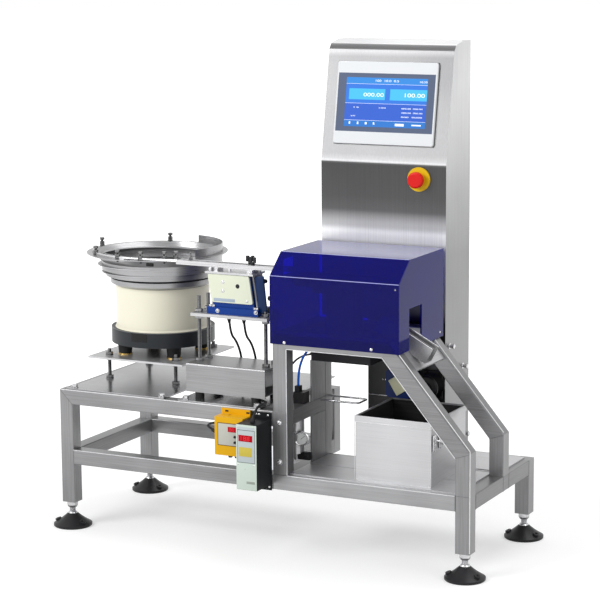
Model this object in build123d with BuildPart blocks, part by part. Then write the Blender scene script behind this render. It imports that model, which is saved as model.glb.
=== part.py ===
"""Checkweigher fed by a vibratory bowl: welded tube frame, feeder, hooded weigher, reject bin and tower."""
from build123d import *
import os
from math import atan2, cos, pi, radians, sin, tan

os.makedirs("parts", exist_ok=True)

# Frame. Origin on the floor, midway between the outer faces of the two end legs; front is -Y.
FRONT_Y = -191.5
FRAME_D = 432.0
TUBE = 38.0
TUBE_CORNER = 2.5
LEG_BOTTOM = 66.0
BASE_TOP = 207.0
TABLE_TOP = 365.0
FRAME_TOP = 561.0
TABLE_L = 619.5
WEIGHER_FRAME_L = 520.5
BRACE_FRONT = 216.0
KINK_Z = 298.0
SLANT_RUN = 190.0
RIGHT_X = (TABLE_L + WEIGHER_FRAME_L) / 2
LEFT_X = -RIGHT_X
REAR_Y = FRONT_Y + FRAME_D
POST_X = LEFT_X + TABLE_L
FRONT_MID = FRONT_Y + TUBE / 2
REAR_MID = REAR_Y - TUBE / 2
BRACE_MID = FRONT_Y + BRACE_FRONT + TUBE / 2
BRACE_BACK = BRACE_MID + TUBE / 2
IN_FRONT = FRONT_Y + TUBE
IN_REAR = REAR_Y - TUBE
TABLE_RAIL_Z = TABLE_TOP - TUBE / 2
BASE_RAIL_Z = BASE_TOP - TUBE / 2
TOP_RAIL_Z = FRAME_TOP - TUBE / 2


def square_tube(start, end, *cuts):
    """Closed square tube from start to end, kept on the side that each cutting plane points to."""
    axis = Vector(*end) - Vector(*start)
    side = (0, 1, 0) if abs(axis.Y) < abs(axis.X) + abs(axis.Z) else (0, 0, 1)
    with BuildPart() as run:
        with BuildSketch(Plane(origin=start, x_dir=side, z_dir=axis)):
            RectangleRounded(TUBE, TUBE, TUBE_CORNER)
        extrude(amount=axis.length)
        for cut in cuts:
            split(bisect_by=cut, keep=Keep.TOP)
    return run.part


def mitre(corner_x, corner_z, kept, other):
    """Mitre plane square to XZ through a corner, between two centre-line directions given as (x, z)."""
    a = Vector(kept[0], 0, kept[1]).normalized()
    b = Vector(other[0], 0, other[1]).normalized()
    return Plane(origin=(corner_x, 0, corner_z), z_dir=a - b)


# Left table: two end legs, mitred into the top rails, and a short post at its rear right corner.
TABLE_END_GAP = 61.5
REAR_POST_TOP = 342.0
left_leg_x = LEFT_X + TUBE / 2
table_end_x = POST_X - TABLE_END_GAP
rear_post_x = table_end_x + TUBE / 2
table_corner = mitre(LEFT_X, TABLE_TOP, (0, -1), (1, 0))
table_rail_corner = mitre(LEFT_X, TABLE_TOP, (1, 0), (0, -1))
with BuildPart() as table_legs:
    for y in (FRONT_MID, REAR_MID):
        add(square_tube((left_leg_x, y, LEG_BOTTOM), (left_leg_x, y, TABLE_TOP), table_corner))
    add(square_tube((rear_post_x, REAR_MID, BASE_TOP - TUBE), (rear_post_x, REAR_MID, REAR_POST_TOP)))
table_legs.part.label = "table_legs"
export_step(table_legs.part, "parts/table_legs.step")

# The rear rail stops against a cross rail that closes the table short of the weigher.
with BuildPart() as table_top_rails:
    for y, end_x in ((FRONT_MID, POST_X), (REAR_MID, table_end_x)):
        add(square_tube((LEFT_X, y, TABLE_RAIL_Z), (end_x, y, TABLE_RAIL_Z), table_rail_corner))
table_top_rails.part.label = "table_top_rails"
export_step(table_top_rails.part, "parts/table_top_rails.step")

with BuildPart() as table_lower_rails:
    add(square_tube((LEFT_X + TUBE, FRONT_MID, BASE_RAIL_Z), (POST_X, FRONT_MID, BASE_RAIL_Z)))
    add(square_tube((LEFT_X + TUBE, REAR_MID, BASE_RAIL_Z), (table_end_x, REAR_MID, BASE_RAIL_Z)))
table_lower_rails.part.label = "table_lower_rails"
export_step(table_lower_rails.part, "parts/table_lower_rails.step")

# Right frame: a front and a middle bent frame, each of a post, a top rail, a sloping rail and a leg.
post_mid_x = POST_X + TUBE / 2
leg_mid_x = RIGHT_X - TUBE / 2
slant_rise = FRAME_TOP - TUBE - KINK_Z
slant_top_x = RIGHT_X - TUBE - SLANT_RUN
slant_dir = (-SLANT_RUN, slant_rise)
post_top = mitre(POST_X, FRAME_TOP, (0, -1), (1, 0))
rail_left = mitre(POST_X, FRAME_TOP, (1, 0), (0, -1))
rail_right = mitre(slant_top_x, FRAME_TOP - TUBE, (-1, 0), (SLANT_RUN, -slant_rise))
slant_top = mitre(slant_top_x, FRAME_TOP - TUBE, (SLANT_RUN, -slant_rise), (-1, 0))
slant_bottom = mitre(RIGHT_X - TUBE, KINK_Z, slant_dir, (0, -1))
leg_top = mitre(RIGHT_X - TUBE, KINK_Z, (0, -1), slant_dir)
slant_unit = Vector(-SLANT_RUN, 0, slant_rise).normalized()
slant_normal = Vector(slant_unit.Z, 0, -slant_unit.X)

with BuildPart() as weigher_posts:
    add(square_tube((post_mid_x, FRONT_MID, BASE_TOP), (post_mid_x, FRONT_MID, FRAME_TOP), post_top))
    add(square_tube((post_mid_x, BRACE_MID, BASE_TOP), (post_mid_x, BRACE_MID, FRAME_TOP), post_top))
weigher_posts.part.label = "weigher_posts"
export_step(weigher_posts.part, "parts/weigher_posts.step")

with BuildPart() as weigher_top_rails:
    for y in (FRONT_MID, BRACE_MID):
        rail_end_x = slant_top_x + TUBE
        add(square_tube((POST_X, y, TOP_RAIL_Z), (rail_end_x, y, TOP_RAIL_Z), rail_left, rail_right))
weigher_top_rails.part.label = "weigher_top_rails"
export_step(weigher_top_rails.part, "parts/weigher_top_rails.step")

with BuildPart() as slanted_rails:
    for y in (FRONT_MID, BRACE_MID):
        low = Vector(RIGHT_X - TUBE, y, KINK_Z) + slant_normal * (TUBE / 2) - slant_unit * TUBE
        high = Vector(slant_top_x, y, FRAME_TOP - TUBE) + slant_normal * (TUBE / 2) + slant_unit * TUBE
        add(square_tube(tuple(low), tuple(high), slant_top, slant_bottom))
slanted_rails.part.label = "slanted_rails"
export_step(slanted_rails.part, "parts/slanted_rails.step")

with BuildPart() as weigher_legs:
    add(square_tube((leg_mid_x, FRONT_MID, LEG_BOTTOM), (leg_mid_x, FRONT_MID, KINK_Z + TUBE), leg_top))
    add(square_tube((leg_mid_x, BRACE_MID, BASE_TOP), (leg_mid_x, BRACE_MID, KINK_Z + TUBE), leg_top))
    add(square_tube((leg_mid_x, REAR_MID, LEG_BOTTOM), (leg_mid_x, REAR_MID, BASE_TOP)))
weigher_legs.part.label = "weigher_legs"
export_step(weigher_legs.part, "parts/weigher_legs.step")

# Base: long rails front, middle and rear, with side rails between them. The rear rail carries the tower.
BASE_REAR_START = 128.5
base_rear_x = POST_X + BASE_REAR_START
base_cross_x = base_rear_x + TUBE / 2
with BuildPart() as base_rails:
    add(square_tube((POST_X, FRONT_MID, BASE_RAIL_Z), (RIGHT_X - TUBE, FRONT_MID, BASE_RAIL_Z)))
    add(square_tube((table_end_x, BRACE_MID, BASE_RAIL_Z), (RIGHT_X - TUBE, BRACE_MID, BASE_RAIL_Z)))
    add(square_tube((base_rear_x, REAR_MID, BASE_RAIL_Z), (RIGHT_X - TUBE, REAR_MID, BASE_RAIL_Z)))
base_rails.part.label = "base_rails"
export_step(base_rails.part, "parts/base_rails.step")

# Cross rails join the front of each frame to its middle or rear, from the table to the right legs.
CROSS_RAIL_TOP = 366.0
cross_rail_runs = [
    (left_leg_x, IN_FRONT, IN_REAR, BASE_RAIL_Z),
    (left_leg_x, IN_FRONT, IN_REAR, TABLE_RAIL_Z),
    (table_end_x - TUBE / 2, IN_FRONT, IN_REAR, TABLE_RAIL_Z),
    (rear_post_x, BRACE_BACK, IN_REAR, BASE_RAIL_Z),
    (post_mid_x, IN_FRONT, BRACE_BACK - TUBE, BASE_RAIL_Z),
    (leg_mid_x, IN_FRONT, IN_REAR, BASE_RAIL_Z),
    (post_mid_x, IN_FRONT, BRACE_BACK - TUBE, CROSS_RAIL_TOP - TUBE / 2),
    (post_mid_x, IN_FRONT, BRACE_BACK - TUBE, TOP_RAIL_Z),
    (base_cross_x, BRACE_BACK, IN_REAR, BASE_RAIL_Z)]
with BuildPart() as cross_rails:
    for x, y0, y1, z in cross_rail_runs:
        add(square_tube((x, y0, z), (x, y1, z)))
cross_rails.part.label = "cross_rails"
export_step(cross_rails.part, "parts/cross_rails.step")

# Flat joint plate bolted over the butt joint between table and weigher frame.
JOINT_PLATE_T = 3.0
JOINT_PLATE_W = 36.0
JOINT_PLATE_BOTTOM = 209.0
JOINT_PLATE_ROUND = 10.0
with BuildPart() as joint_plate:
    with BuildSketch(Plane.XZ.offset(-FRONT_Y)):
        with Locations((post_mid_x, (TABLE_TOP + JOINT_PLATE_BOTTOM) / 2)):
            Rectangle(JOINT_PLATE_W, TABLE_TOP - JOINT_PLATE_BOTTOM)
    extrude(amount=JOINT_PLATE_T)
    fillet(joint_plate.edges().filter_by(Axis.Y).group_by(Axis.Z)[0], JOINT_PLATE_ROUND)
joint_plate.part.label = "joint_plate"
export_step(joint_plate.part, "parts/joint_plate.step")

# Levelling feet under the four end legs: domed disc, threaded stud and lock nut.
FOOT_R = 50.0
FOOT_H = 34.0
FOOT_NECK_R = 13.0
FOOT_SOLE = 7.0
FOOT_CHAMFER = 2.0
FOOT_DOME = (-0.55, 0.3)
STUD_R = 8.0
NUT_AF = 24.0
NUT_H = 10.0
foot_places = [(x, y) for x in (left_leg_x, leg_mid_x) for y in (FRONT_MID, REAR_MID)]
with BuildPart() as foot_discs:
    for x, y in foot_places:
        with BuildSketch(Plane(origin=(x, y, 0), x_dir=(1, 0, 0), z_dir=(0, -1, 0))):
            with BuildLine():
                Polyline((0, FOOT_H), (0, 0), (FOOT_R - FOOT_CHAMFER, 0), (FOOT_R, FOOT_CHAMFER),
                         (FOOT_R, FOOT_SOLE))
                Line((FOOT_NECK_R, FOOT_H), (0, FOOT_H))
                TangentArc((FOOT_R, FOOT_SOLE), (FOOT_NECK_R, FOOT_H), tangent=FOOT_DOME)
            make_face()
        revolve(axis=Axis((x, y, 0), (0, 0, 1)))
foot_discs.part.label = "foot_discs"
export_step(foot_discs.part, "parts/foot_discs.step")

with BuildPart() as foot_studs:
    for x, y in foot_places:
        with Locations((x, y, FOOT_H)):
            Cylinder(STUD_R, LEG_BOTTOM - FOOT_H, align=(Align.CENTER, Align.CENTER, Align.MIN))
        with BuildSketch(Plane.XY.offset(LEG_BOTTOM - NUT_H)):
            with Locations((x, y)):
                RegularPolygon(NUT_AF / 2, 6, major_radius=False)
        extrude(amount=NUT_H)
foot_studs.part.label = "foot_studs"
export_step(foot_studs.part, "parts/foot_studs.step")

# Base plates lying on the base rails: two in front with a narrow seam, one behind beside the tower.
PLATE_T = 3.0
SEAM = 4.0
SEAM_Y = 123.0
PLATE_INSET = 16.0
TOWER_FROM_POST = 339.5
tower_right = POST_X + TOWER_FROM_POST
seam_y = FRONT_Y + SEAM_Y
plate_left = POST_X + TUBE
plate_right = RIGHT_X - TUBE


def flat_plate(x0, x1, y0, y1, z, thickness):
    """Flat sheet between two corners, its underside at z."""
    with BuildPart() as sheet:
        with BuildSketch(Plane.XY.offset(z)):
            with Locations(((x0 + x1) / 2, (y0 + y1) / 2)):
                Rectangle(x1 - x0, y1 - y0)
        extrude(amount=thickness)
    return sheet.part


with BuildPart() as base_plates:
    add(flat_plate(plate_left, plate_right, FRONT_Y + PLATE_INSET, seam_y, BASE_TOP, PLATE_T))
    add(flat_plate(plate_left, plate_right, seam_y + SEAM, BRACE_MID - TUBE / 2 + PLATE_INSET, BASE_TOP,
                   PLATE_T))
    add(flat_plate(tower_right, leg_mid_x, BRACE_BACK, REAR_MID, BASE_TOP, PLATE_T))
base_plates.part.label = "base_plates"
export_step(base_plates.part, "parts/base_plates.step")

# Two plates close the table top. The bowl stands on the first, the linear feeder on the second.
TABLE_PLATE_T = 4.0
LEFT_PLATE_X = 20.0
TABLE_PLATE_GAP = 41.0
RIGHT_PLATE_W = 233.0
RIGHT_PLATE_FROM_POST = 37.5
TABLE_PLATE_INSET = 4.0
CABLE_HOLE_R = 8.0
CABLE_BEHIND = 30.0
LEFT_CABLE_FROM_POST = 182.5
table_deck = TABLE_TOP + TABLE_PLATE_T
right_plate_x = POST_X - RIGHT_PLATE_FROM_POST - RIGHT_PLATE_W
left_plate_x = LEFT_X + LEFT_PLATE_X
left_plate_w = right_plate_x - TABLE_PLATE_GAP - left_plate_x
LINEAR_FROM_FRONT = 93.0
CHANNEL_D = 124.0
linear_mid = FRONT_Y + LINEAR_FROM_FRONT
channel_back = linear_mid + CHANNEL_D / 2
cable_hole = (POST_X - LEFT_CABLE_FROM_POST, channel_back + CABLE_BEHIND)
with BuildPart() as table_plates:
    for x, width in ((left_plate_x, left_plate_w), (right_plate_x, RIGHT_PLATE_W)):
        add(flat_plate(x, x + width, FRONT_Y + TABLE_PLATE_INSET, REAR_Y - TABLE_PLATE_INSET, TABLE_TOP,
                       TABLE_PLATE_T))
    with Locations((*cable_hole, table_deck)):
        Hole(CABLE_HOLE_R, TABLE_PLATE_T)
table_plates.part.label = "table_plates"
export_step(table_plates.part, "parts/table_plates.step")

# Bowl feeder: a raised plate on four threaded rods carries the drive on rubber feet.
RAISED_SHIFT = -9.0
RAISED_FROM_FRONT = 259.5
RAISED_NARROWER = 4.0
RAISED_D = 280.0
RAISED_T = 5.0
RAISED_TOP = 431.0
ROD_R = 5.0
ROD_INSET_X = 42.0
ROD_PITCH_Y = 202.0
ROD_ABOVE = 9.0
SMALL_NUT_AF = 17.0
SMALL_NUT_H = 8.0
raised_y = FRONT_Y + RAISED_FROM_FRONT
raised_x = left_plate_x + left_plate_w / 2 + RAISED_SHIFT
raised_w = left_plate_w - RAISED_NARROWER
rod_pitch_x = raised_w - 2 * ROD_INSET_X
raised_bottom = RAISED_TOP - RAISED_T


def rods_with_nuts(places, foot_z, top_z, plate_bottom, plate_top):
    """Threaded rods standing on foot_z, with nuts at the foot and under and over the plate they carry."""
    with BuildPart() as rods:
        for x, y in places:
            with Locations((x, y, foot_z)):
                Cylinder(ROD_R, top_z - foot_z, align=(Align.CENTER, Align.CENTER, Align.MIN))
            for z in (foot_z, plate_bottom - SMALL_NUT_H, plate_top):
                with BuildSketch(Plane.XY.offset(z)):
                    with Locations((x, y)):
                        RegularPolygon(SMALL_NUT_AF / 2, 6, major_radius=False)
                extrude(amount=SMALL_NUT_H)
    return rods.part


bowl_rod_places = [(raised_x + sx * rod_pitch_x / 2, raised_y + sy * ROD_PITCH_Y / 2)
                   for sx in (-1, 1) for sy in (-1, 1)]
with BuildPart() as raised_plate:
    add(flat_plate(raised_x - raised_w / 2, raised_x + raised_w / 2, raised_y - RAISED_D / 2,
                   raised_y + RAISED_D / 2, raised_bottom, RAISED_T))
    with Locations(*[(x, y, RAISED_TOP) for x, y in bowl_rod_places]):
        Hole(ROD_R, RAISED_T)
raised_plate.part.label = "raised_plate"
export_step(raised_plate.part, "parts/raised_plate.step")

with BuildPart() as raised_plate_rods:
    rod_top = RAISED_TOP + SMALL_NUT_H + ROD_ABOVE
    add(rods_with_nuts(bowl_rod_places, table_deck, rod_top, raised_bottom, RAISED_TOP))
raised_plate_rods.part.label = "raised_plate_rods"
export_step(raised_plate_rods.part, "parts/raised_plate_rods.step")

# Drive: dark base ring on four rubber feet with brass washers, cream cover, steel clamping ring.
BOWL_SHIFT = 5.0
BOWL_FROM_FRONT = 261.0
BASE_RING_R = 136.0
BASE_RING_BOTTOM = 463.0
BASE_RING_H = 39.0
BASE_RING_ROUND = 3.0
COVER_R = 123.0
COVER_H = 112.0
COVER_FOOT_R = 126.0
COVER_FOOT_H = 5.0
CLAMP_LIP = 1.0
CLAMP_CHAMFER = 7.0
CLAMP_RING_H = 19.0
RUBBER_FOOT_R = 17.0
RUBBER_FOOT_PITCH = 104.0
BRASS_WASHER_H = 3.0
bowl_x = raised_x + BOWL_SHIFT
bowl_y = FRONT_Y + BOWL_FROM_FRONT
bowl_axis = Axis((bowl_x, bowl_y, 0), (0, 0, 1))
bowl_section = Plane(origin=(bowl_x, bowl_y, 0), x_dir=(1, 0, 0), z_dir=(0, -1, 0))
base_ring_top = BASE_RING_BOTTOM + BASE_RING_H
cover_top = base_ring_top + COVER_H
clamp_top = cover_top + CLAMP_RING_H
with BuildPart() as bowl_rubber_feet:
    with BuildSketch(Plane.XY.offset(RAISED_TOP)):
        with Locations((bowl_x, bowl_y)):
            with PolarLocations(RUBBER_FOOT_PITCH, 4, start_angle=45):
                Circle(RUBBER_FOOT_R)
    extrude(amount=BRASS_WASHER_H)
    with BuildSketch(Plane.XY.offset(RAISED_TOP + BRASS_WASHER_H)):
        with Locations((bowl_x, bowl_y)):
            with PolarLocations(RUBBER_FOOT_PITCH, 4, start_angle=45):
                Circle(RUBBER_FOOT_R)
    extrude(amount=BASE_RING_BOTTOM - RAISED_TOP - BRASS_WASHER_H, taper=-6)
bowl_rubber_feet.part.label = "bowl_rubber_feet"
export_step(bowl_rubber_feet.part, "parts/bowl_rubber_feet.step")

with BuildPart() as drive_base_ring:
    with BuildSketch(Plane.XY.offset(BASE_RING_BOTTOM)):
        with Locations((bowl_x, bowl_y)):
            Circle(BASE_RING_R)
    extrude(amount=BASE_RING_H)
    fillet(drive_base_ring.edges().sort_by(Axis.Z)[-1], BASE_RING_ROUND)
drive_base_ring.part.label = "drive_base_ring"
export_step(drive_base_ring.part, "parts/drive_base_ring.step")

with BuildPart() as drive_cover:
    with BuildSketch(bowl_section):
        with BuildLine():
            Polyline((0, base_ring_top), (COVER_FOOT_R, base_ring_top),
                     (COVER_R, base_ring_top + COVER_FOOT_H), (COVER_R, cover_top), (0, cover_top),
                     close=True)
        make_face()
    revolve(axis=bowl_axis)
drive_cover.part.label = "drive_cover"
export_step(drive_cover.part, "parts/drive_cover.step")

with BuildPart() as clamping_ring:
    with BuildSketch(bowl_section):
        with BuildLine():
            Polyline((0, cover_top), (COVER_R + CLAMP_LIP, cover_top),
                     (BASE_RING_R, cover_top + CLAMP_CHAMFER), (BASE_RING_R, clamp_top), (0, clamp_top),
                     close=True)
        make_face()
    revolve(axis=bowl_axis)
clamping_ring.part.label = "clamping_ring"
export_step(clamping_ring.part, "parts/clamping_ring.step")

# Stepped bowl, open at the top. The rim is a flat ledge, set off to the left of the drive's axis.
BOWL_WALL = 2.0
BOWL_FOOT_R = 130.0
BOWL_FOOT_H = 7.0
BOWL_TIER_1_R = 148.0
BOWL_TIER_1_H = 17.0
BOWL_TIER_2_R = 158.5
BOWL_TIER_2_H = 22.0
BOWL_MOUTH_R = 170.0
BOWL_RIM_R = 185.0
BOWL_RIM_Z = 700.0
BOWL_RIM_SHIFT_X = -10.5
BOWL_RIM_SHIFT_Y = -5.5
bowl_floor = clamp_top + BOWL_FOOT_H
tier_1_top = bowl_floor + BOWL_TIER_1_H
tier_2_top = tier_1_top + BOWL_TIER_2_H
rim_x = bowl_x + BOWL_RIM_SHIFT_X
rim_y = bowl_y + BOWL_RIM_SHIFT_Y


def stepped_pan(inset, lift):
    """Solid filled shape of the bowl, drawn in by the wall thickness for its inside."""
    with BuildPart() as pan:
        with BuildSketch(Plane.XY.offset(bowl_floor + lift)):
            with Locations((bowl_x, bowl_y)):
                Circle(BOWL_TIER_1_R - inset)
        extrude(amount=BOWL_TIER_1_H)
        with BuildSketch(Plane.XY.offset(tier_1_top + lift)):
            with Locations((bowl_x, bowl_y)):
                Circle(BOWL_TIER_2_R - inset)
        extrude(amount=BOWL_TIER_2_H)
        with BuildSketch(Plane.XY.offset(tier_2_top + lift)):
            with Locations((bowl_x, bowl_y)):
                Circle(BOWL_TIER_2_R - inset)
        with BuildSketch(Plane.XY.offset(BOWL_RIM_Z)):
            with Locations((rim_x, rim_y)):
                Circle(BOWL_MOUTH_R + BOWL_WALL - inset)
        loft()
    return pan.part


with BuildPart() as feed_bowl:
    add(stepped_pan(0, 0))
    with BuildSketch(Plane.XY.offset(BOWL_RIM_Z)):
        with Locations((rim_x, rim_y)):
            Circle(BOWL_RIM_R)
    extrude(amount=-BOWL_WALL)
    add(stepped_pan(BOWL_WALL, BOWL_WALL), mode=Mode.SUBTRACT)
    with BuildSketch(Plane.XY.offset(clamp_top)):
        with Locations((bowl_x, bowl_y)):
            Circle(BOWL_FOOT_R)
    extrude(amount=BOWL_FOOT_H)
feed_bowl.part.label = "feed_bowl"
export_step(feed_bowl.part, "parts/feed_bowl.step")

GUIDE_WALL_H = 21.0
GUIDE_WALL_T = 2.0
GUIDE_START = -25.0
GUIDE_SWEEP = 105.0
guide_out = (cos(radians(GUIDE_START)), sin(radians(GUIDE_START)), 0)
guide_section = Plane(origin=(rim_x, rim_y, BOWL_RIM_Z), x_dir=guide_out,
                      z_dir=(guide_out[1], -guide_out[0], 0))
with BuildPart() as bowl_guide_wall:
    with BuildSketch(guide_section):
        with Locations((BOWL_MOUTH_R + GUIDE_WALL_T / 2, GUIDE_WALL_H / 2)):
            Rectangle(GUIDE_WALL_T, GUIDE_WALL_H)
    revolve(axis=Axis((rim_x, rim_y, 0), (0, 0, 1)), revolution_arc=GUIDE_SWEEP)
bowl_guide_wall.part.label = "bowl_guide_wall"
export_step(bowl_guide_wall.part, "parts/bowl_guide_wall.step")

# Linear feeder: inverted channel on rubber mounts, drive plate on four rods, drive, top plate and track.
CHANNEL_L = 223.0
CHANNEL_FROM_POST = 260.5
CHANNEL_TOP = 458.0
CHANNEL_H = 72.0
CHANNEL_T = 3.0
CHANNEL_BEND = 4.0
CHANNEL_FOOT_L = 46.0
MOUNT_R = 11.5
MOUNT_PITCH_X = 160.0
MOUNT_PITCH_Y = 98.0
channel_left = POST_X - CHANNEL_FROM_POST
channel_mid_x = channel_left + CHANNEL_L / 2
channel_bottom = CHANNEL_TOP - CHANNEL_H
mount_places = [(channel_mid_x + sx * MOUNT_PITCH_X / 2, linear_mid + sy * MOUNT_PITCH_Y / 2)
                for sx in (-1, 1) for sy in (-1, 1)]
with BuildPart() as channel_stand:
    with BuildSketch(Plane.YZ.offset(channel_left)):
        with Locations((linear_mid, CHANNEL_TOP - CHANNEL_H / 2)):
            Rectangle(CHANNEL_D, CHANNEL_H)
    extrude(amount=CHANNEL_L)
    fillet(channel_stand.edges().filter_by(Axis.X).group_by(Axis.Z)[-1], CHANNEL_BEND)
    with BuildSketch(Plane.YZ.offset(channel_left)):
        with Locations((linear_mid, CHANNEL_TOP - CHANNEL_T - CHANNEL_H / 2)):
            Rectangle(CHANNEL_D - 2 * CHANNEL_T, CHANNEL_H)
    extrude(amount=CHANNEL_L, mode=Mode.SUBTRACT)
    for side in (-1, 1):
        with Locations((channel_mid_x + side * MOUNT_PITCH_X / 2, linear_mid, channel_bottom)):
            Box(CHANNEL_FOOT_L, CHANNEL_D - 2 * CHANNEL_T, CHANNEL_T,
                align=(Align.CENTER, Align.CENTER, Align.MIN))
channel_stand.part.label = "channel_stand"
export_step(channel_stand.part, "parts/channel_stand.step")

with BuildPart() as channel_rubber_mounts:
    with Locations(*[(x, y, table_deck) for x, y in mount_places]):
        Cylinder(MOUNT_R, channel_bottom - table_deck, align=(Align.CENTER, Align.CENTER, Align.MIN))
channel_rubber_mounts.part.label = "channel_rubber_mounts"
export_step(channel_rubber_mounts.part, "parts/channel_rubber_mounts.step")

DRIVE_PLATE_L = 216.0
DRIVE_PLATE_D = 88.0
DRIVE_PLATE_TOP = 584.0
DRIVE_PLATE_T = 8.0
LINEAR_FROM_POST = 147.5
LINEAR_ROD_PITCH_X = 188.0
LINEAR_ROD_PITCH_Y = 47.5
LINEAR_ROD_TOP = 625.0
SHORT_ROD_ABOVE = 14.0
drive_plate_bottom = DRIVE_PLATE_TOP - DRIVE_PLATE_T
linear_x = POST_X - LINEAR_FROM_POST
long_rod_places = [(linear_x - LINEAR_ROD_PITCH_X / 2, linear_mid + side * LINEAR_ROD_PITCH_Y / 2)
                   for side in (-1, 1)]
short_rod_places = [(x + LINEAR_ROD_PITCH_X, y) for x, y in long_rod_places]
with BuildPart() as drive_plate:
    add(flat_plate(linear_x - DRIVE_PLATE_L / 2, linear_x + DRIVE_PLATE_L / 2,
                   linear_mid - DRIVE_PLATE_D / 2, linear_mid + DRIVE_PLATE_D / 2, drive_plate_bottom,
                   DRIVE_PLATE_T))
    with Locations(*[(x, y, DRIVE_PLATE_TOP) for x, y in long_rod_places + short_rod_places]):
        Hole(ROD_R, DRIVE_PLATE_T)
drive_plate.part.label = "drive_plate"
export_step(drive_plate.part, "parts/drive_plate.step")

with BuildPart() as drive_plate_rods:
    add(rods_with_nuts(long_rod_places, CHANNEL_TOP, LINEAR_ROD_TOP, drive_plate_bottom, DRIVE_PLATE_TOP))
    add(rods_with_nuts(short_rod_places, CHANNEL_TOP, DRIVE_PLATE_TOP + SHORT_ROD_ABOVE, drive_plate_bottom,
                       DRIVE_PLATE_TOP))
drive_plate_rods.part.label = "drive_plate_rods"
export_step(drive_plate_rods.part, "parts/drive_plate_rods.step")

# Drive: base bar, leaning magnet body between two leaf springs, cream side plate in front.
DRIVE_SHIFT = -67.0
DRIVE_L = 144.0
DRIVE_D = 66.0
DRIVE_BASE_H = 17.0
DRIVE_BODY_H = 84.0
DRIVE_LEAN = 13.0
DRIVE_BODY_INSET = 16.0
LEAF_T = 4.0
LEAF_GAP = 3.0
LEAF_INSET_Y = 6.0
SIDE_PLATE_T = 6.0
SIDE_PLATE_BOTTOM = 614.0
SIDE_PLATE_TOP = 684.0
SIDE_PLATE_ROUND = 5.0
drive_left = linear_x + DRIVE_SHIFT
drive_front = linear_mid - DRIVE_D / 2
drive_base_top = DRIVE_PLATE_TOP + DRIVE_BASE_H
drive_top = drive_base_top + DRIVE_BODY_H
body_left = drive_left + DRIVE_BODY_INSET
body_right = drive_left + DRIVE_L - DRIVE_BODY_INSET + LEAF_T


def leaning(x, z):
    """Point of the XZ outline at x on the base, moved left by the lean at height z."""
    return (x - DRIVE_LEAN * (z - drive_base_top) / DRIVE_BODY_H, z)


with BuildPart() as linear_drive:
    with BuildSketch(Plane.XZ.offset(-drive_front)):
        with Locations((drive_left + DRIVE_L / 2, DRIVE_PLATE_TOP + DRIVE_BASE_H / 2)):
            Rectangle(DRIVE_L, DRIVE_BASE_H)
    extrude(amount=-DRIVE_D)
    with BuildSketch(Plane.XZ.offset(-drive_front - SIDE_PLATE_T)):
        with BuildLine():
            Polyline(leaning(body_left, drive_base_top), leaning(body_right, drive_base_top),
                     leaning(body_right, drive_top - LEAF_GAP), leaning(body_left, drive_top - LEAF_GAP),
                     close=True)
        make_face()
    extrude(amount=-(DRIVE_D - SIDE_PLATE_T))
linear_drive.part.label = "linear_drive"
export_step(linear_drive.part, "parts/linear_drive.step")

with BuildPart() as drive_leaf_springs:
    with BuildSketch(Plane.XZ.offset(-drive_front - SIDE_PLATE_T - LEAF_INSET_Y)):
        for x in (body_left - LEAF_GAP - LEAF_T, body_right + LEAF_GAP):
            with BuildLine():
                Polyline(leaning(x, drive_base_top), leaning(x + LEAF_T, drive_base_top),
                         leaning(x + LEAF_T, drive_top), leaning(x, drive_top), close=True)
            make_face()
    extrude(amount=-(DRIVE_D - SIDE_PLATE_T - 2 * LEAF_INSET_Y))
drive_leaf_springs.part.label = "drive_leaf_springs"
export_step(drive_leaf_springs.part, "parts/drive_leaf_springs.step")

with BuildPart() as linear_drive_cover:
    with BuildSketch(Plane.XZ.offset(-drive_front - SIDE_PLATE_T)) as cover_outline:
        with BuildLine():
            Polyline(leaning(body_left, SIDE_PLATE_BOTTOM), leaning(body_right, SIDE_PLATE_BOTTOM),
                     leaning(body_right, SIDE_PLATE_TOP), leaning(body_left, SIDE_PLATE_TOP), close=True)
        make_face()
        fillet(cover_outline.vertices(), SIDE_PLATE_ROUND)
    extrude(amount=SIDE_PLATE_T)
linear_drive_cover.part.label = "linear_drive_cover"
export_step(linear_drive_cover.part, "parts/linear_drive_cover.step")

TOP_PLATE_SHIFT = -4.0
TOP_PLATE_L = 135.0
TOP_PLATE_T = 5.0
TRACK_BLOCK_L = 16.0
TRACK_BLOCK_D = 30.0
TRACK_BLOCK_H = 9.0
TRACK_BLOCK_INSET = 18.0
RAIL_T = 9.0
RAIL_H = 10.0
RAIL_GAP = 13.0
TRACK_STRIP_T = 3.0
TRACK_FROM_RIM = 158.5
TRACK_PAST_POST = 12.5
top_plate_top = drive_top + TOP_PLATE_T
top_plate_left = drive_left + TOP_PLATE_SHIFT
track_left = rim_x + TRACK_FROM_RIM
track_right = POST_X + TRACK_PAST_POST
track_bottom = top_plate_top + TRACK_BLOCK_H
with BuildPart() as track_plate:
    add(flat_plate(top_plate_left, top_plate_left + TOP_PLATE_L, drive_front, drive_front + DRIVE_D,
                   drive_top, TOP_PLATE_T))
    for x in (top_plate_left + TRACK_BLOCK_INSET, top_plate_left + TOP_PLATE_L - TRACK_BLOCK_INSET):
        with Locations((x, linear_mid, top_plate_top)):
            Box(TRACK_BLOCK_L, TRACK_BLOCK_D, TRACK_BLOCK_H, align=(Align.CENTER, Align.CENTER, Align.MIN))
track_plate.part.label = "track_plate"
export_step(track_plate.part, "parts/track_plate.step")

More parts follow.
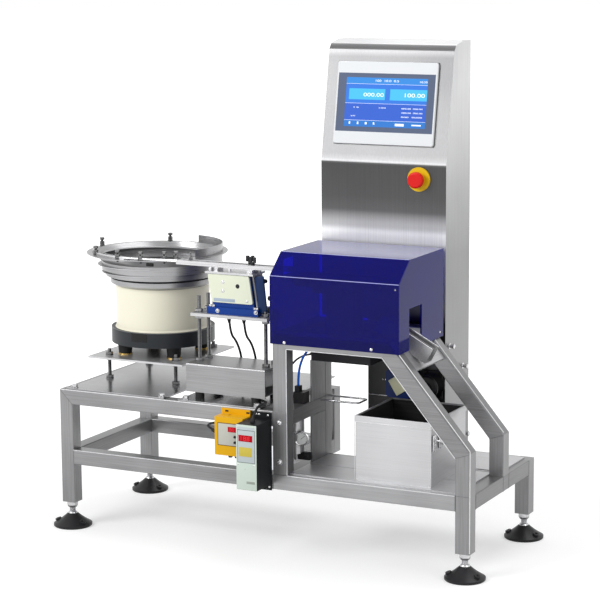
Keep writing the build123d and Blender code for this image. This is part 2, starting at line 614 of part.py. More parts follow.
with BuildPart() as feed_track:
    for side in (-1, 1):
        rail_y = linear_mid + side * (RAIL_GAP + RAIL_T) / 2
        add(flat_plate(track_left, track_right, rail_y - RAIL_T / 2, rail_y + RAIL_T / 2, track_bottom,
                       RAIL_H))
    add(flat_plate(track_left, track_right, linear_mid - RAIL_GAP / 2, linear_mid + RAIL_GAP / 2,
                   track_bottom, TRACK_STRIP_T))
feed_track.part.label = "feed_track"
export_step(feed_track.part, "parts/feed_track.step")

# Two controllers hang on the front of the table rail by flanges.
FLANGE_T = 3.0
YELLOW_FROM_POST = 141.5
YELLOW_W = 80.0
YELLOW_D = 42.0
YELLOW_BOTTOM = 252.0
YELLOW_H = 96.0
YELLOW_FLANGE_H = 14.0
CASE_ROUND = 3.0
yellow_left = POST_X - YELLOW_FROM_POST
with BuildPart() as yellow_controller:
    with Locations((yellow_left, FRONT_Y, YELLOW_BOTTOM)):
        Box(YELLOW_W, YELLOW_D, YELLOW_H, align=(Align.MIN, Align.MAX, Align.MIN))
    fillet(yellow_controller.edges().filter_by(Axis.Z).group_by(Axis.Y)[0], CASE_ROUND)
    with Locations((yellow_left, FRONT_Y, YELLOW_BOTTOM + YELLOW_H)):
        Box(YELLOW_W, FLANGE_T, YELLOW_FLANGE_H, align=(Align.MIN, Align.MAX, Align.MIN))
yellow_controller.part.label = "yellow_controller"
export_step(yellow_controller.part, "parts/yellow_controller.step")

TALL_FROM_POST = 59.5
TALL_W = 56.0
TALL_D = 80.0
TALL_BOTTOM = 182.0
TALL_H = 163.0
TALL_FLANGE_H = 16.0
tall_left = POST_X - TALL_FROM_POST
with BuildPart() as tall_controller:
    with Locations((tall_left, FRONT_Y - FLANGE_T, TALL_BOTTOM)):
        Box(TALL_W, TALL_D - FLANGE_T, TALL_H, align=(Align.MIN, Align.MAX, Align.MIN))
    fillet(tall_controller.edges().filter_by(Axis.Z).group_by(Axis.Y)[0], CASE_ROUND)
    with Locations((tall_left, FRONT_Y, TALL_BOTTOM - TALL_FLANGE_H)):
        Box(TALL_W, FLANGE_T, TALL_H + 2 * TALL_FLANGE_H, align=(Align.MIN, Align.MAX, Align.MIN))
tall_controller.part.label = "tall_controller"
export_step(tall_controller.part, "parts/tall_controller.step")

# Hood over the weigher: bent acrylic sheet, open at the rear and below, slotted for track and chute.
HOOD_T = 4.0
HOOD_PAST_SLANT = 47.0
HOOD_BOTTOM = 535.0
HOOD_CREASE_Z = 702.0
HOOD_TOP = 754.0
HOOD_TOWER_GAP = 14.0
TOWER_D = 154.0
HOOD_SLOPE_D = 62.0
hood_left = POST_X - HOOD_T
hood_right = slant_top_x + HOOD_PAST_SLANT
hood_w = hood_right - hood_left
hood_front = FRONT_Y - HOOD_T
tower_front = REAR_Y - TOWER_D
hood_back = tower_front - HOOD_TOWER_GAP
hood_slope = atan2(HOOD_TOP - HOOD_CREASE_Z, HOOD_SLOPE_D)
CHUTE_SLOT_FROM_FRONT = 55.5
CHUTE_SLOT_W = 75.0
CHUTE_SLOT_TOP = 636.0
TRACK_SLOT_W = 60.0
TRACK_SLOT_BELOW = 6.0
TRACK_SLOT_H = 40.0


def hood_outline(inset):
    """Front, sloping and top line of the hood in the YZ plane, moved inward by inset."""
    crease_drop = inset * tan((pi / 2 - hood_slope) / 2)
    top_drop = inset * tan(hood_slope / 2)
    return [(hood_front + inset, HOOD_BOTTOM), (hood_front + inset, HOOD_CREASE_Z - crease_drop),
            (hood_front + HOOD_SLOPE_D + top_drop, HOOD_TOP - inset), (hood_back, HOOD_TOP - inset),
            (hood_back, HOOD_BOTTOM)]


with BuildPart() as hood:
    with BuildSketch(Plane.YZ.offset(hood_left)):
        with BuildLine():
            Polyline(*hood_outline(0), close=True)
        make_face()
    extrude(amount=hood_w)
    with BuildSketch(Plane.YZ.offset(hood_left + HOOD_T)):
        with BuildLine():
            Polyline(*hood_outline(HOOD_T), close=True)
        make_face()
    extrude(amount=hood_w - 2 * HOOD_T, mode=Mode.SUBTRACT)
    with Locations((hood_right, FRONT_Y + CHUTE_SLOT_FROM_FRONT, HOOD_BOTTOM)):
        Box(3 * HOOD_T, CHUTE_SLOT_W, CHUTE_SLOT_TOP - HOOD_BOTTOM,
            align=(Align.CENTER, Align.MIN, Align.MIN), mode=Mode.SUBTRACT)
    with Locations((hood_left, linear_mid, track_bottom - TRACK_SLOT_BELOW)):
        Box(3 * HOOD_T, TRACK_SLOT_W, TRACK_SLOT_H, align=(Align.CENTER, Align.CENTER, Align.MIN),
            mode=Mode.SUBTRACT)
hood.part.label = "hood"
export_step(hood.part, "parts/hood.step")

# Weigher: black base block hung between the rails, with a short weighing belt on a post above it.
WEIGHER_BOTTOM = 471.0
WEIGHER_FROM_FRONT = 136.0
WEIGHER_H = 72.0
WEIGHER_L = 162.0
weigher_front = FRONT_Y + WEIGHER_FROM_FRONT
weigher_back = BRACE_MID - TUBE / 2
weigher_top = WEIGHER_BOTTOM + WEIGHER_H
with BuildPart() as weigher_base:
    with Locations((POST_X + TUBE, weigher_front, WEIGHER_BOTTOM)):
        Box(WEIGHER_L, weigher_back - weigher_front, WEIGHER_H, align=(Align.MIN, Align.MIN, Align.MIN))
weigher_base.part.label = "weigher_base"
export_step(weigher_base.part, "parts/weigher_base.step")

BELT_TOP = 696.0
BELT_H = 26.0
BELT_W = 60.0
BELT_PAST_POST = 24.5
BELT_END_GAP = 79.0
BELT_POST_SHIFT = 94.0
BELT_POST_W = 80.0
BELT_POST_D = 44.0
BELT_ARM_H = 14.0
belt_post_y = weigher_front + BELT_POST_D / 2 + HOOD_T
belt_bottom = BELT_TOP - BELT_H
belt_left = POST_X + BELT_PAST_POST
belt_l = hood_right - BELT_END_GAP - belt_left
belt_post_x = belt_left + BELT_POST_SHIFT
with BuildPart() as weighing_belt:
    with BuildSketch(Plane.XZ.offset(-(linear_mid - BELT_W / 2))):
        with Locations((belt_left + belt_l / 2, BELT_TOP - BELT_H / 2)):
            SlotOverall(belt_l, BELT_H)
    extrude(amount=-BELT_W)
    with Locations((belt_post_x, belt_post_y, weigher_top)):
        Box(BELT_POST_W, BELT_POST_D, belt_bottom - weigher_top,
            align=(Align.CENTER, Align.CENTER, Align.MIN))
    with Locations((belt_post_x, linear_mid, belt_bottom - BELT_ARM_H)):
        Box(BELT_POST_W, belt_post_y + BELT_POST_D / 2 - linear_mid, BELT_ARM_H,
            align=(Align.CENTER, Align.MIN, Align.MIN))
    with Locations((belt_post_x, linear_mid, belt_bottom - BELT_ARM_H)):
        Box(BELT_POST_W, BELT_W, BELT_ARM_H, align=(Align.CENTER, Align.CENTER, Align.MIN))
weighing_belt.part.label = "weighing_belt"
export_step(weighing_belt.part, "parts/weighing_belt.step")

# Reject chute: folded channel that leaves the hood through its slot and runs down to the right.
CHUTE_ANGLE = 28.2
CHUTE_L = 150.0
CHUTE_W = 38.0
CHUTE_H = 41.0
CHUTE_T = 2.0
CHUTE_PAST_HOOD = 52.6
CHUTE_END_Z = 538.5
chute_y = FRONT_Y + CHUTE_SLOT_FROM_FRONT + CHUTE_SLOT_W / 2
down = Vector(cos(radians(CHUTE_ANGLE)), 0, -sin(radians(CHUTE_ANGLE)))
chute_end = Plane(origin=(hood_right + CHUTE_PAST_HOOD, chute_y, CHUTE_END_Z), x_dir=(0, 1, 0), z_dir=-down)
with BuildPart() as reject_chute:
    with BuildSketch(chute_end):
        with Locations((0, CHUTE_H / 2)):
            Rectangle(CHUTE_W, CHUTE_H)
        with Locations((0, CHUTE_H / 2 - CHUTE_T)):
            Rectangle(CHUTE_W - 2 * CHUTE_T, CHUTE_H, mode=Mode.SUBTRACT)
    extrude(amount=CHUTE_L)
reject_chute.part.label = "reject_chute"
export_step(reject_chute.part, "parts/reject_chute.step")

# Bridge plate: sheet welded between the sloping rails, notched for the chute that rests in it.
BRIDGE_T = 3.0
BRIDGE_BELOW = 5.0
BRIDGE_LOW_Z = 490.0
BRIDGE_L = 58.0
BRIDGE_LIP = 10.0
BRIDGE_NOTCH_CLEAR = 1.0
bridge_front = IN_FRONT
bridge_back = BRACE_MID - TUBE / 2
slant_outer = Vector(RIGHT_X - TUBE, 0, KINK_Z) + slant_normal * (TUBE - BRIDGE_BELOW)
bridge_low = slant_outer + slant_unit * ((BRIDGE_LOW_Z - slant_outer.Z) / slant_unit.Z)
with BuildPart() as bridge_plate:
    with BuildSketch(Plane.XZ.offset(-bridge_back)):
        with BuildLine():
            top = bridge_low + slant_unit * BRIDGE_L
            inner_top = top - slant_normal * BRIDGE_T
            inner_low = bridge_low - slant_normal * BRIDGE_T + slant_unit * BRIDGE_T
            lip_in = inner_low - slant_normal * (BRIDGE_LIP - BRIDGE_T)
            lip_out = lip_in - slant_unit * BRIDGE_T
            corners = (bridge_low, top, inner_top, inner_low, lip_in, lip_out)
            Polyline(*[(p.X, p.Z) for p in corners], close=True)
        make_face()
    extrude(amount=bridge_back - bridge_front)
    with BuildSketch(chute_end):
        with Locations((0, 0)):
            Rectangle(CHUTE_W + 2 * BRIDGE_NOTCH_CLEAR, 2 * CHUTE_H)
    extrude(amount=CHUTE_L, mode=Mode.SUBTRACT)
bridge_plate.part.label = "bridge_plate"
export_step(bridge_plate.part, "parts/bridge_plate.step")

# Reject bin: open sheet box with a thick hem round its mouth, standing on the base plates.
BIN_FROM_RIGHT = 314.0
BIN_W = 201.0
BIN_FROM_FRONT = 31.0
BIN_D = 223.0
BIN_H = 159.0
BIN_T = 1.5
BIN_HEM_H = 15.0
BIN_HEM_T = 2.0
bin_floor = BASE_TOP + PLATE_T
bin_left = RIGHT_X - BIN_FROM_RIGHT
bin_mid_x = bin_left + BIN_W / 2
bin_mid_y = FRONT_Y + BIN_FROM_FRONT + BIN_D / 2
with BuildPart() as reject_bin:
    with Locations((bin_mid_x, bin_mid_y, bin_floor)):
        Box(BIN_W - 2 * BIN_HEM_T, BIN_D - 2 * BIN_HEM_T, BIN_H,
            align=(Align.CENTER, Align.CENTER, Align.MIN))
    with Locations((bin_mid_x, bin_mid_y, bin_floor + BIN_H)):
        Box(BIN_W, BIN_D, BIN_HEM_H, align=(Align.CENTER, Align.CENTER, Align.MAX))
    with Locations((bin_mid_x, bin_mid_y, bin_floor + BIN_T)):
        Box(BIN_W - 2 * BIN_HEM_T - 2 * BIN_T, BIN_D - 2 * BIN_HEM_T - 2 * BIN_T, BIN_H,
            align=(Align.CENTER, Align.CENTER, Align.MIN), mode=Mode.SUBTRACT)
reject_bin.part.label = "reject_bin"
export_step(reject_bin.part, "parts/reject_bin.step")

# Small rod handle low on the right side of the bin, near its front corner.
HANDLE_ROD_R = 2.5
HANDLE_FROM_FRONT = 51.0
HANDLE_Z = 323.0
HANDLE_OUT = 24.0
HANDLE_SPAN_Y = 34.0
HANDLE_DROP = 14.0
HANDLE_BEND = 8.0
bin_side_x = bin_left + BIN_W - BIN_HEM_T
handle_y = FRONT_Y + HANDLE_FROM_FRONT
handle_out_x = bin_side_x + HANDLE_OUT
with BuildPart() as bin_handle:
    with BuildLine():
        FilletPolyline((bin_side_x, handle_y, HANDLE_Z), (handle_out_x, handle_y, HANDLE_Z),
                       (handle_out_x, handle_y + HANDLE_SPAN_Y, HANDLE_Z - HANDLE_DROP),
                       (bin_side_x, handle_y + HANDLE_SPAN_Y, HANDLE_Z - HANDLE_DROP), radius=HANDLE_BEND)
    with BuildSketch(Plane(origin=(bin_side_x, handle_y, HANDLE_Z), z_dir=(1, 0, 0))):
        Circle(HANDLE_ROD_R)
    sweep()
bin_handle.part.label = "bin_handle"
export_step(bin_handle.part, "parts/bin_handle.step")

# Rod loop welded to the middle post and the end of the cross rail.
LOOP_BIN_GAP = 64.5
LOOP_FROM_FRONT = 190.0
LOOP_SPAN = 54.0
LOOP_BELOW = 6.0
loop_x = POST_X + TUBE
loop_end_x = bin_left - LOOP_BIN_GAP
loop_y = FRONT_Y + LOOP_FROM_FRONT
loop_z = CROSS_RAIL_TOP - LOOP_BELOW
with BuildPart() as rod_loop:
    with BuildLine():
        FilletPolyline((loop_x, loop_y, loop_z), (loop_end_x, loop_y, loop_z),
                       (loop_end_x, loop_y + LOOP_SPAN, loop_z), (loop_x, loop_y + LOOP_SPAN, loop_z),
                       radius=HANDLE_BEND)
    with BuildSketch(Plane(origin=(loop_x, loop_y, loop_z), z_dir=(1, 0, 0))):
        Circle(HANDLE_ROD_R)
    sweep()
rod_loop.part.label = "rod_loop"
export_step(rod_loop.part, "parts/rod_loop.step")

# Tower: lower column on the base rails and a wider cabinet above it, flush at the right and rear.
TOWER_W = 340.0
COLUMN_W = 211.0
TOWER_KINK_Z = 954.5
TOWER_SLOPE_TOP_Z = 1232.0
TOWER_TOP = 1255.0
TOWER_SLOPE = 10.0
TOWER_BEND_D = 12.0
TOWER_BEND_H = 9.0
TOWER_LID_D = 54.0
TOWER_BEND_R = 10.0
tower_left = tower_right - TOWER_W
slope_top_y = tower_front + (TOWER_SLOPE_TOP_Z - TOWER_KINK_Z) * tan(radians(TOWER_SLOPE))
with BuildPart() as tower_column:
    with Locations((tower_right, REAR_Y, BASE_TOP)):
        Box(COLUMN_W, TOWER_D, FRAME_TOP - BASE_TOP, align=(Align.MAX, Align.MAX, Align.MIN))
tower_column.part.label = "tower_column"
export_step(tower_column.part, "parts/tower_column.step")

with BuildPart() as tower_cabinet:
    with BuildSketch(Plane.YZ.offset(tower_left)):
        with BuildLine():
            Polyline((tower_front, FRAME_TOP), (tower_front, TOWER_KINK_Z), (slope_top_y, TOWER_SLOPE_TOP_Z),
                     (slope_top_y + TOWER_BEND_D, TOWER_TOP - TOWER_BEND_H),
                     (slope_top_y + TOWER_LID_D, TOWER_TOP), (REAR_Y, TOWER_TOP), (REAR_Y, FRAME_TOP),
                     close=True)
        make_face()
    extrude(amount=TOWER_W)
    long_edges = tower_cabinet.edges().filter_by(Axis.X)
    fillet([e for e in long_edges if e.center().Z > TOWER_KINK_Z + TOWER_TOP - TOWER_SLOPE_TOP_Z
            and e.center().Y < REAR_Y - TOWER_BEND_R], TOWER_BEND_R)
tower_cabinet.part.label = "tower_cabinet"
export_step(tower_cabinet.part, "parts/tower_cabinet.step")

# Operator panel on the sloped front: bezel with a recessed screen.
HMI_W = 272.0
HMI_H = 206.0
HMI_T = 8.0
HMI_UP = 148.0
HMI_ROUND = 6.0
HMI_EDGE = 2.0
SCREEN_BELOW = 0.5
HMI_FROM_LEFT = 167.5
SCREEN_W = 263.0
SCREEN_H = 146.0
SCREEN_UP = 149.0
SCREEN_DEPTH = 1.5
panel_plane = Plane(origin=(tower_left + HMI_FROM_LEFT, tower_front, TOWER_KINK_Z), x_dir=(1, 0, 0),
                    z_dir=(0, -cos(radians(TOWER_SLOPE)), sin(radians(TOWER_SLOPE))))
with BuildPart() as hmi_bezel:
    with BuildSketch(panel_plane):
        with Locations((0, HMI_UP)):
            RectangleRounded(HMI_W, HMI_H, HMI_ROUND)
    extrude(amount=HMI_T)
    fillet(hmi_bezel.faces().sort_by(Axis.Y)[0].outer_wire().edges(), HMI_EDGE)
    with BuildSketch(panel_plane.offset(HMI_T)):
        with Locations((0, SCREEN_UP)):
            Rectangle(SCREEN_W, SCREEN_H)
    extrude(amount=-SCREEN_DEPTH, mode=Mode.SUBTRACT)
hmi_bezel.part.label = "hmi_bezel"
export_step(hmi_bezel.part, "parts/hmi_bezel.step")

with BuildPart() as hmi_screen:
    with BuildSketch(panel_plane.offset(HMI_T - SCREEN_DEPTH)):
        with Locations((0, SCREEN_UP)):
            Rectangle(SCREEN_W, SCREEN_H)
    extrude(amount=SCREEN_DEPTH - SCREEN_BELOW)
hmi_screen.part.label = "hmi_screen"
export_step(hmi_screen.part, "parts/hmi_screen.step")

# Emergency stop: yellow collar on the cabinet front, red mushroom button that pushes in.
STOP_FROM_RIGHT = 72.0
STOP_Z = 919.0
COLLAR_R = 30.0
COLLAR_T = 4.0
STOP_NECK_R = 14.0
STOP_NECK_L = 3.0
MUSHROOM_R = 20.0
MUSHROOM_T = 15.0
STOP_TRAVEL = 4.0
STOP_SHAFT_R = 7.0
STOP_CLEAR = 0.05
STOP_GAP = 5.0
STOP_END_GAP = 1.0
MUSHROOM_ROUND = 5.0
stop_x = tower_right - STOP_FROM_RIGHT
stop_plane = Plane(origin=(stop_x, tower_front, STOP_Z), x_dir=(1, 0, 0), z_dir=(0, -1, 0))
with BuildPart() as stop_collar:
    with BuildSketch(stop_plane):
        Circle(COLLAR_R)
        Circle(STOP_SHAFT_R + STOP_CLEAR, mode=Mode.SUBTRACT)
    extrude(amount=COLLAR_T)
    with BuildSketch(stop_plane.offset(COLLAR_T)):
        Circle(STOP_NECK_R)
        Circle(STOP_SHAFT_R + STOP_CLEAR, mode=Mode.SUBTRACT)
    extrude(amount=STOP_NECK_L)
stop_collar.part.label = "stop_collar"
export_step(stop_collar.part, "parts/stop_collar.step")

stop_shaft_inner = STOP_TRAVEL + STOP_END_GAP
mushroom_back = COLLAR_T + STOP_NECK_L + STOP_TRAVEL + STOP_GAP
with BuildPart() as stop_button:
    with BuildSketch(stop_plane.offset(stop_shaft_inner)):
        Circle(STOP_SHAFT_R)
    extrude(amount=mushroom_back - stop_shaft_inner)
    with BuildSketch(stop_plane.offset(mushroom_back)):
        Circle(MUSHROOM_R)
    extrude(amount=MUSHROOM_T)
    fillet(stop_button.edges().filter_by(GeomType.CIRCLE).sort_by(Axis.Y)[0], MUSHROOM_ROUND)
stop_button.part.label = "stop_button"
export_step(stop_button.part, "parts/stop_button.step")

# Drive of the reject gate, bolted to the column under the weigher.
REJECT_DRIVE_FROM_RIGHT = 134.0
REJECT_DRIVE_W = 66.0
REJECT_DRIVE_BOTTOM = 378.0
REJECT_DRIVE_H = 70.0
REJECT_DRIVE_D = 62.0
REJECT_DRIVE_ROUND = 10.0
with BuildPart() as reject_drive:
    with BuildSketch(Plane.XZ.offset(-tower_front)):
        with Locations((tower_right - REJECT_DRIVE_FROM_RIGHT + REJECT_DRIVE_W / 2,
                        REJECT_DRIVE_BOTTOM + REJECT_DRIVE_H / 2)):
            RectangleRounded(REJECT_DRIVE_W, REJECT_DRIVE_H, REJECT_DRIVE_ROUND)
    extrude(amount=REJECT_DRIVE_D)
reject_drive.part.label = "reject_drive"
export_step(reject_drive.part, "parts/reject_drive.step")

# Side sheet between the left posts, in two fields above and below the cross rail.
SIDE_SHEET_T = 3.0
SIDE_SHEET_D = 80.0
side_sheet_x = POST_X + TUBE - SIDE_SHEET_T
side_front = BRACE_MID - TUBE / 2 - SIDE_SHEET_D
with BuildPart() as side_sheets:
    for bottom, height in ((CROSS_RAIL_TOP, WEIGHER_BOTTOM - CROSS_RAIL_TOP),
                           (BASE_TOP, CROSS_RAIL_TOP - TUBE - BASE_TOP)):
        with Locations((side_sheet_x, side_front, bottom)):
            Box(SIDE_SHEET_T, SIDE_SHEET_D, height, align=(Align.MIN, Align.MIN, Align.MIN))
side_sheets.part.label = "side_sheets"
export_step(side_sheets.part, "parts/side_sheets.step")

# Air regulator hung under the cross rail, and a plug box on top of it.
REGULATOR_R = 19.0
REGULATOR_FROM_FRONT = 92.0
REGULATOR_BODY_H = 84.0
REGULATOR_BOWL_R = 13.0
REGULATOR_BOWL_H = 16.0
GAUGE_R = 15.0
GAUGE_BELOW = 40.0
GAUGE_OUT = 14.0
GAUGE_ROOT = 4.0
regulator_top = CROSS_RAIL_TOP - TUBE
regulator_y = FRONT_Y + REGULATOR_FROM_FRONT
with BuildPart() as air_regulator:
    with Locations((post_mid_x, regulator_y, regulator_top)):
        Cylinder(REGULATOR_R, REGULATOR_BODY_H, align=(Align.CENTER, Align.CENTER, Align.MAX))
    with Locations((post_mid_x, regulator_y, regulator_top - REGULATOR_BODY_H)):
        Cylinder(REGULATOR_BOWL_R, REGULATOR_BOWL_H, align=(Align.CENTER, Align.CENTER, Align.MAX))
    with BuildSketch(Plane.XZ.offset(-(regulator_y - REGULATOR_R + GAUGE_ROOT))):
        with Locations((post_mid_x, regulator_top - GAUGE_BELOW)):
            Circle(GAUGE_R)
    extrude(amount=GAUGE_OUT)
air_regulator.part.label = "air_regulator"
export_step(air_regulator.part, "parts/air_regulator.step")

PLUG_BOX_W = 30.0
PLUG_BOX_D = 34.0
PLUG_BOX_H = 28.0
PLUG_BOX_ROUND = 3.0
PLUG_BOX_FROM_FRONT = 118.0
PLUG_NECK_W = 13.0
PLUG_NECK_D = 16.0
PLUG_NECK_H = 14.0
PLUG_NECK_SHIFT = -8.0
plug_x = post_mid_x
plug_y = FRONT_Y + PLUG_BOX_FROM_FRONT
plug_top = CROSS_RAIL_TOP + PLUG_BOX_H
neck_x = plug_x + PLUG_NECK_SHIFT
neck_top = plug_top + PLUG_NECK_H
with BuildPart() as plug_box:
    with Locations((plug_x, plug_y, CROSS_RAIL_TOP)):
        Box(PLUG_BOX_W, PLUG_BOX_D, PLUG_BOX_H, align=(Align.CENTER, Align.CENTER, Align.MIN))
    fillet(plug_box.edges().filter_by(Axis.Z), PLUG_BOX_ROUND)
    with Locations((neck_x, plug_y, plug_top)):
        Box(PLUG_NECK_W, PLUG_NECK_D, PLUG_NECK_H, align=(Align.CENTER, Align.CENTER, Align.MIN))
plug_box.part.label = "plug_box"
export_step(plug_box.part, "parts/plug_box.step")

# Leads: straight runs joined by arcs, each arc taking up to RUN_SHARE of the shorter run at its corner.
RUN_SHARE = 0.45
LEAD_R = 3.0
SENSOR_R = 2.5
LEAD_BELOW = 46.0
LEAD_LIFT = 4.0


def lead(points, radius):
    """Round lead swept along its corner points, each given as (x, y, z)."""
    corners = [Vector(*point) for point in points]
    radii = []
    for a, b, c in zip(corners, corners[1:], corners[2:]):
        half_turn = radians((b - a).get_angle(c - b)) / 2
        radii.append(RUN_SHARE * min((b - a).length, (c - b).length) / tan(half_turn))
    print("radii", [round(r, 1) for r in radii])
    with BuildPart() as cord:
        with BuildLine() as route:
            FilletPolyline(*points, radius=radii)
        with BuildSketch(Plane(origin=corners[0], z_dir=corners[1] - corners[0])):
            Circle(radius)
        sweep(path=route.wires()[0])
    return cord.part


# The left lead leaves the drive plate, drops behind the channel, passes down through the hole in the
# table plate and comes forward under the rail to the yellow controller.
hole_x, hole_y = cable_hole
left_lead_x = hole_x + 13
lead_start = drive_plate_bottom - LEAD_BELOW
under_rail = TABLE_TOP - TUBE - LEAD_LIFT
left_lead_points = [
    (left_lead_x, linear_mid, drive_plate_bottom), (left_lead_x, linear_mid + 3.5, lead_start),
    (left_lead_x - 4, channel_back - 13.5, CHANNEL_TOP + 42),
    (hole_x + 4, channel_back + 22.5, CHANNEL_TOP - 11),
    (hole_x, hole_y, table_deck + 6), (hole_x - 3, hole_y - 2, table_deck - 44),
    (hole_x - 8, hole_y - 54, table_deck - 69), (hole_x - 11, hole_y - 112, table_deck - 65),
    (hole_x - 9, IN_FRONT - 18.5, under_rail - 12), (hole_x + 8, FRONT_Y - 16.5, under_rail - 11),
    (yellow_left, FRONT_Y - 22.5, under_rail - 18)]
with BuildPart() as feeder_cable_left:
    add(lead(left_lead_points, LEAD_R))
feeder_cable_left.part.label = "feeder_cable_left"
export_step(feeder_cable_left.part, "parts/feeder_cable_left.step")

# The right lead drops behind the channel, runs under it over the table plate and comes forward over the
# rail into the top of the tall controller.
right_lead_x = left_lead_x + 42
on_deck = table_deck + LEAD_LIFT
right_lead_points = [
    (right_lead_x, linear_mid, drive_plate_bottom), (right_lead_x, linear_mid + 3.5, lead_start),
    (right_lead_x - 4, channel_back - 13.5, CHANNEL_TOP + 42),
    (right_lead_x - 10, channel_back + 22.5, CHANNEL_TOP - 11),
    (right_lead_x - 14, channel_back + 32.5, on_deck), (right_lead_x, channel_back - 29.5, on_deck),
    (right_lead_x + 38, channel_back - 75.5, on_deck), (tall_left + 18, IN_FRONT + 15.5, on_deck),
    (tall_left + 27, FRONT_Y + 6.5, on_deck + 5), (tall_left + 30, FRONT_Y - 34.5, on_deck + 5),
    (tall_left + 30, FRONT_Y - 50.5, TALL_BOTTOM + TALL_H)]
with BuildPart() as feeder_cable_right:
    add(lead(right_lead_points, LEAD_R))
feeder_cable_right.part.label = "feeder_cable_right"
export_step(feeder_cable_right.part, "parts/feeder_cable_right.step")

# The sensor lead leaves the left side of the weigher base and loops down into the side of the plug box.
sensor_points = [
    (POST_X + TUBE, weigher_front + 25.5, WEIGHER_BOTTOM + 11),
    (POST_X + 2.5, weigher_front + 25.5, WEIGHER_BOTTOM + 9),
    (POST_X - 33.5, weigher_front + 17.5, WEIGHER_BOTTOM - 26),
    (POST_X - 41.5, weigher_front + 3.5, WEIGHER_BOTTOM - 71),
    (POST_X - 25.5, plug_y + 5.5, plug_top - 14), (plug_x - PLUG_BOX_W / 2, plug_y, plug_top - 13)]
with BuildPart() as sensor_cable:
    add(lead(sensor_points, SENSOR_R))
sensor_cable.part.label = "sensor_cable"
export_step(sensor_cable.part, "parts/sensor_cable.step")

# The air tube rises from the plug's neck in front of the weigher base and turns back into its face.
air_points = [
    (neck_x, plug_y, neck_top), (neck_x, plug_y - 1, neck_top + 32),
    (neck_x + 16, plug_y - 6, neck_top + 77),
    (neck_x + 45, plug_y - 12, neck_top + 107), (neck_x + 80, plug_y - 14, neck_top + 121),
    (neck_x + 88, weigher_front, neck_top + 122)]
with BuildPart() as air_tube:
    add(lead(air_points, LEAD_R))
air_tube.part.label = "air_tube"
export_step(air_tube.part, "parts/air_tube.step")
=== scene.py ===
"""Checkweigher fed by a vibratory bowl: finishes, fasteners and small parts round the CAD frame."""
import bpy
import bmesh
import math
from mathutils import Matrix, Vector


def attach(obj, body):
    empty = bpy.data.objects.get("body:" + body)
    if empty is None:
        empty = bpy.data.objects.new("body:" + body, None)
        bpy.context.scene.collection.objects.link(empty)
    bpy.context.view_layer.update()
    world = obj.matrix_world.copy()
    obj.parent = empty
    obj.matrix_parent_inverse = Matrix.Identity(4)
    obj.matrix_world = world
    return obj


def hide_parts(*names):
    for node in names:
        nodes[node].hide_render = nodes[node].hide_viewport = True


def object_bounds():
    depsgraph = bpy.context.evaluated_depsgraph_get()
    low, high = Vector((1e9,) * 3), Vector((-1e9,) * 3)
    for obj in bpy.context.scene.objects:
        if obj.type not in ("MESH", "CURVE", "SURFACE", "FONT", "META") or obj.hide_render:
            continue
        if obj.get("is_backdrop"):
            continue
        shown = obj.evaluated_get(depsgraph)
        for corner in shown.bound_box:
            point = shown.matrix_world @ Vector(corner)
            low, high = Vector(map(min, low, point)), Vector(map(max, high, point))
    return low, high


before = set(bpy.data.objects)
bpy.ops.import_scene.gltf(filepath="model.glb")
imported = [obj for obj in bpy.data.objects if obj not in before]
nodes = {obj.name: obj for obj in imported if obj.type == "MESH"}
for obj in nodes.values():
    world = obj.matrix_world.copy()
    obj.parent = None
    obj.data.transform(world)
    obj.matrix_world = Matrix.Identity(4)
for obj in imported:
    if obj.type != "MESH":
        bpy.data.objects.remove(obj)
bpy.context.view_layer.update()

# Camera. It stands to the right of the machine at chest height and looks slightly down at it,
# at the place, angle and lens that the photograph was taken with.
AZIMUTH, ELEVATION, ROLL = (math.radians(a) for a in (26.73, 9.85, -0.39))
back = Vector((math.sin(AZIMUTH) * math.cos(ELEVATION), -math.cos(AZIMUTH) * math.cos(ELEVATION),
               math.sin(ELEVATION)))
level = Vector((math.cos(AZIMUTH), math.sin(AZIMUTH), 0.0))
upright = back.cross(level)
right = math.cos(ROLL) * level + math.sin(ROLL) * upright
above = math.cos(ROLL) * upright - math.sin(ROLL) * level
camera = bpy.data.objects.new("camera", bpy.data.cameras.new("camera"))
camera.data.lens = 126.55
camera.data.sensor_width = 36.0
camera.matrix_world = (Matrix.Translation((2.3781, -4.66316, 1.5169))
                       @ Matrix((right, above, back)).transposed().to_4x4())
bpy.context.scene.collection.objects.link(camera)
bpy.context.scene.camera = camera
bpy.context.scene.view_settings.view_transform = "Standard"

# Studio. A pale seamless floor that keeps the machine's soft shadow, a white surround,
# and three soft lamps: a key from the front left, a weaker fill from the right and a top lamp.


def add_node(parts, kind, operation=None, **values):
    """Adds a shader node and sets its operation and the inputs named here, with _ for a space."""
    made = parts.new(kind)
    if operation:
        made.operation = operation
    for label, value in values.items():
        made.inputs[label.replace("_", " ")].default_value = value
    return made


def seen_directly(parts, join):
    """Output that is one for what the camera, gloss and glass see, and nought for light on the machine."""
    ray = parts.new("ShaderNodeLightPath")
    camera_or_gloss, seen = (add_node(parts, "ShaderNodeMath", "MAXIMUM") for step in range(2))
    join.new(ray.outputs["Is Camera Ray"], camera_or_gloss.inputs[0])
    join.new(ray.outputs["Is Glossy Ray"], camera_or_gloss.inputs[1])
    join.new(camera_or_gloss.outputs[0], seen.inputs[0])
    join.new(ray.outputs["Is Transmission Ray"], seen.inputs[1])
    return seen.outputs[0]


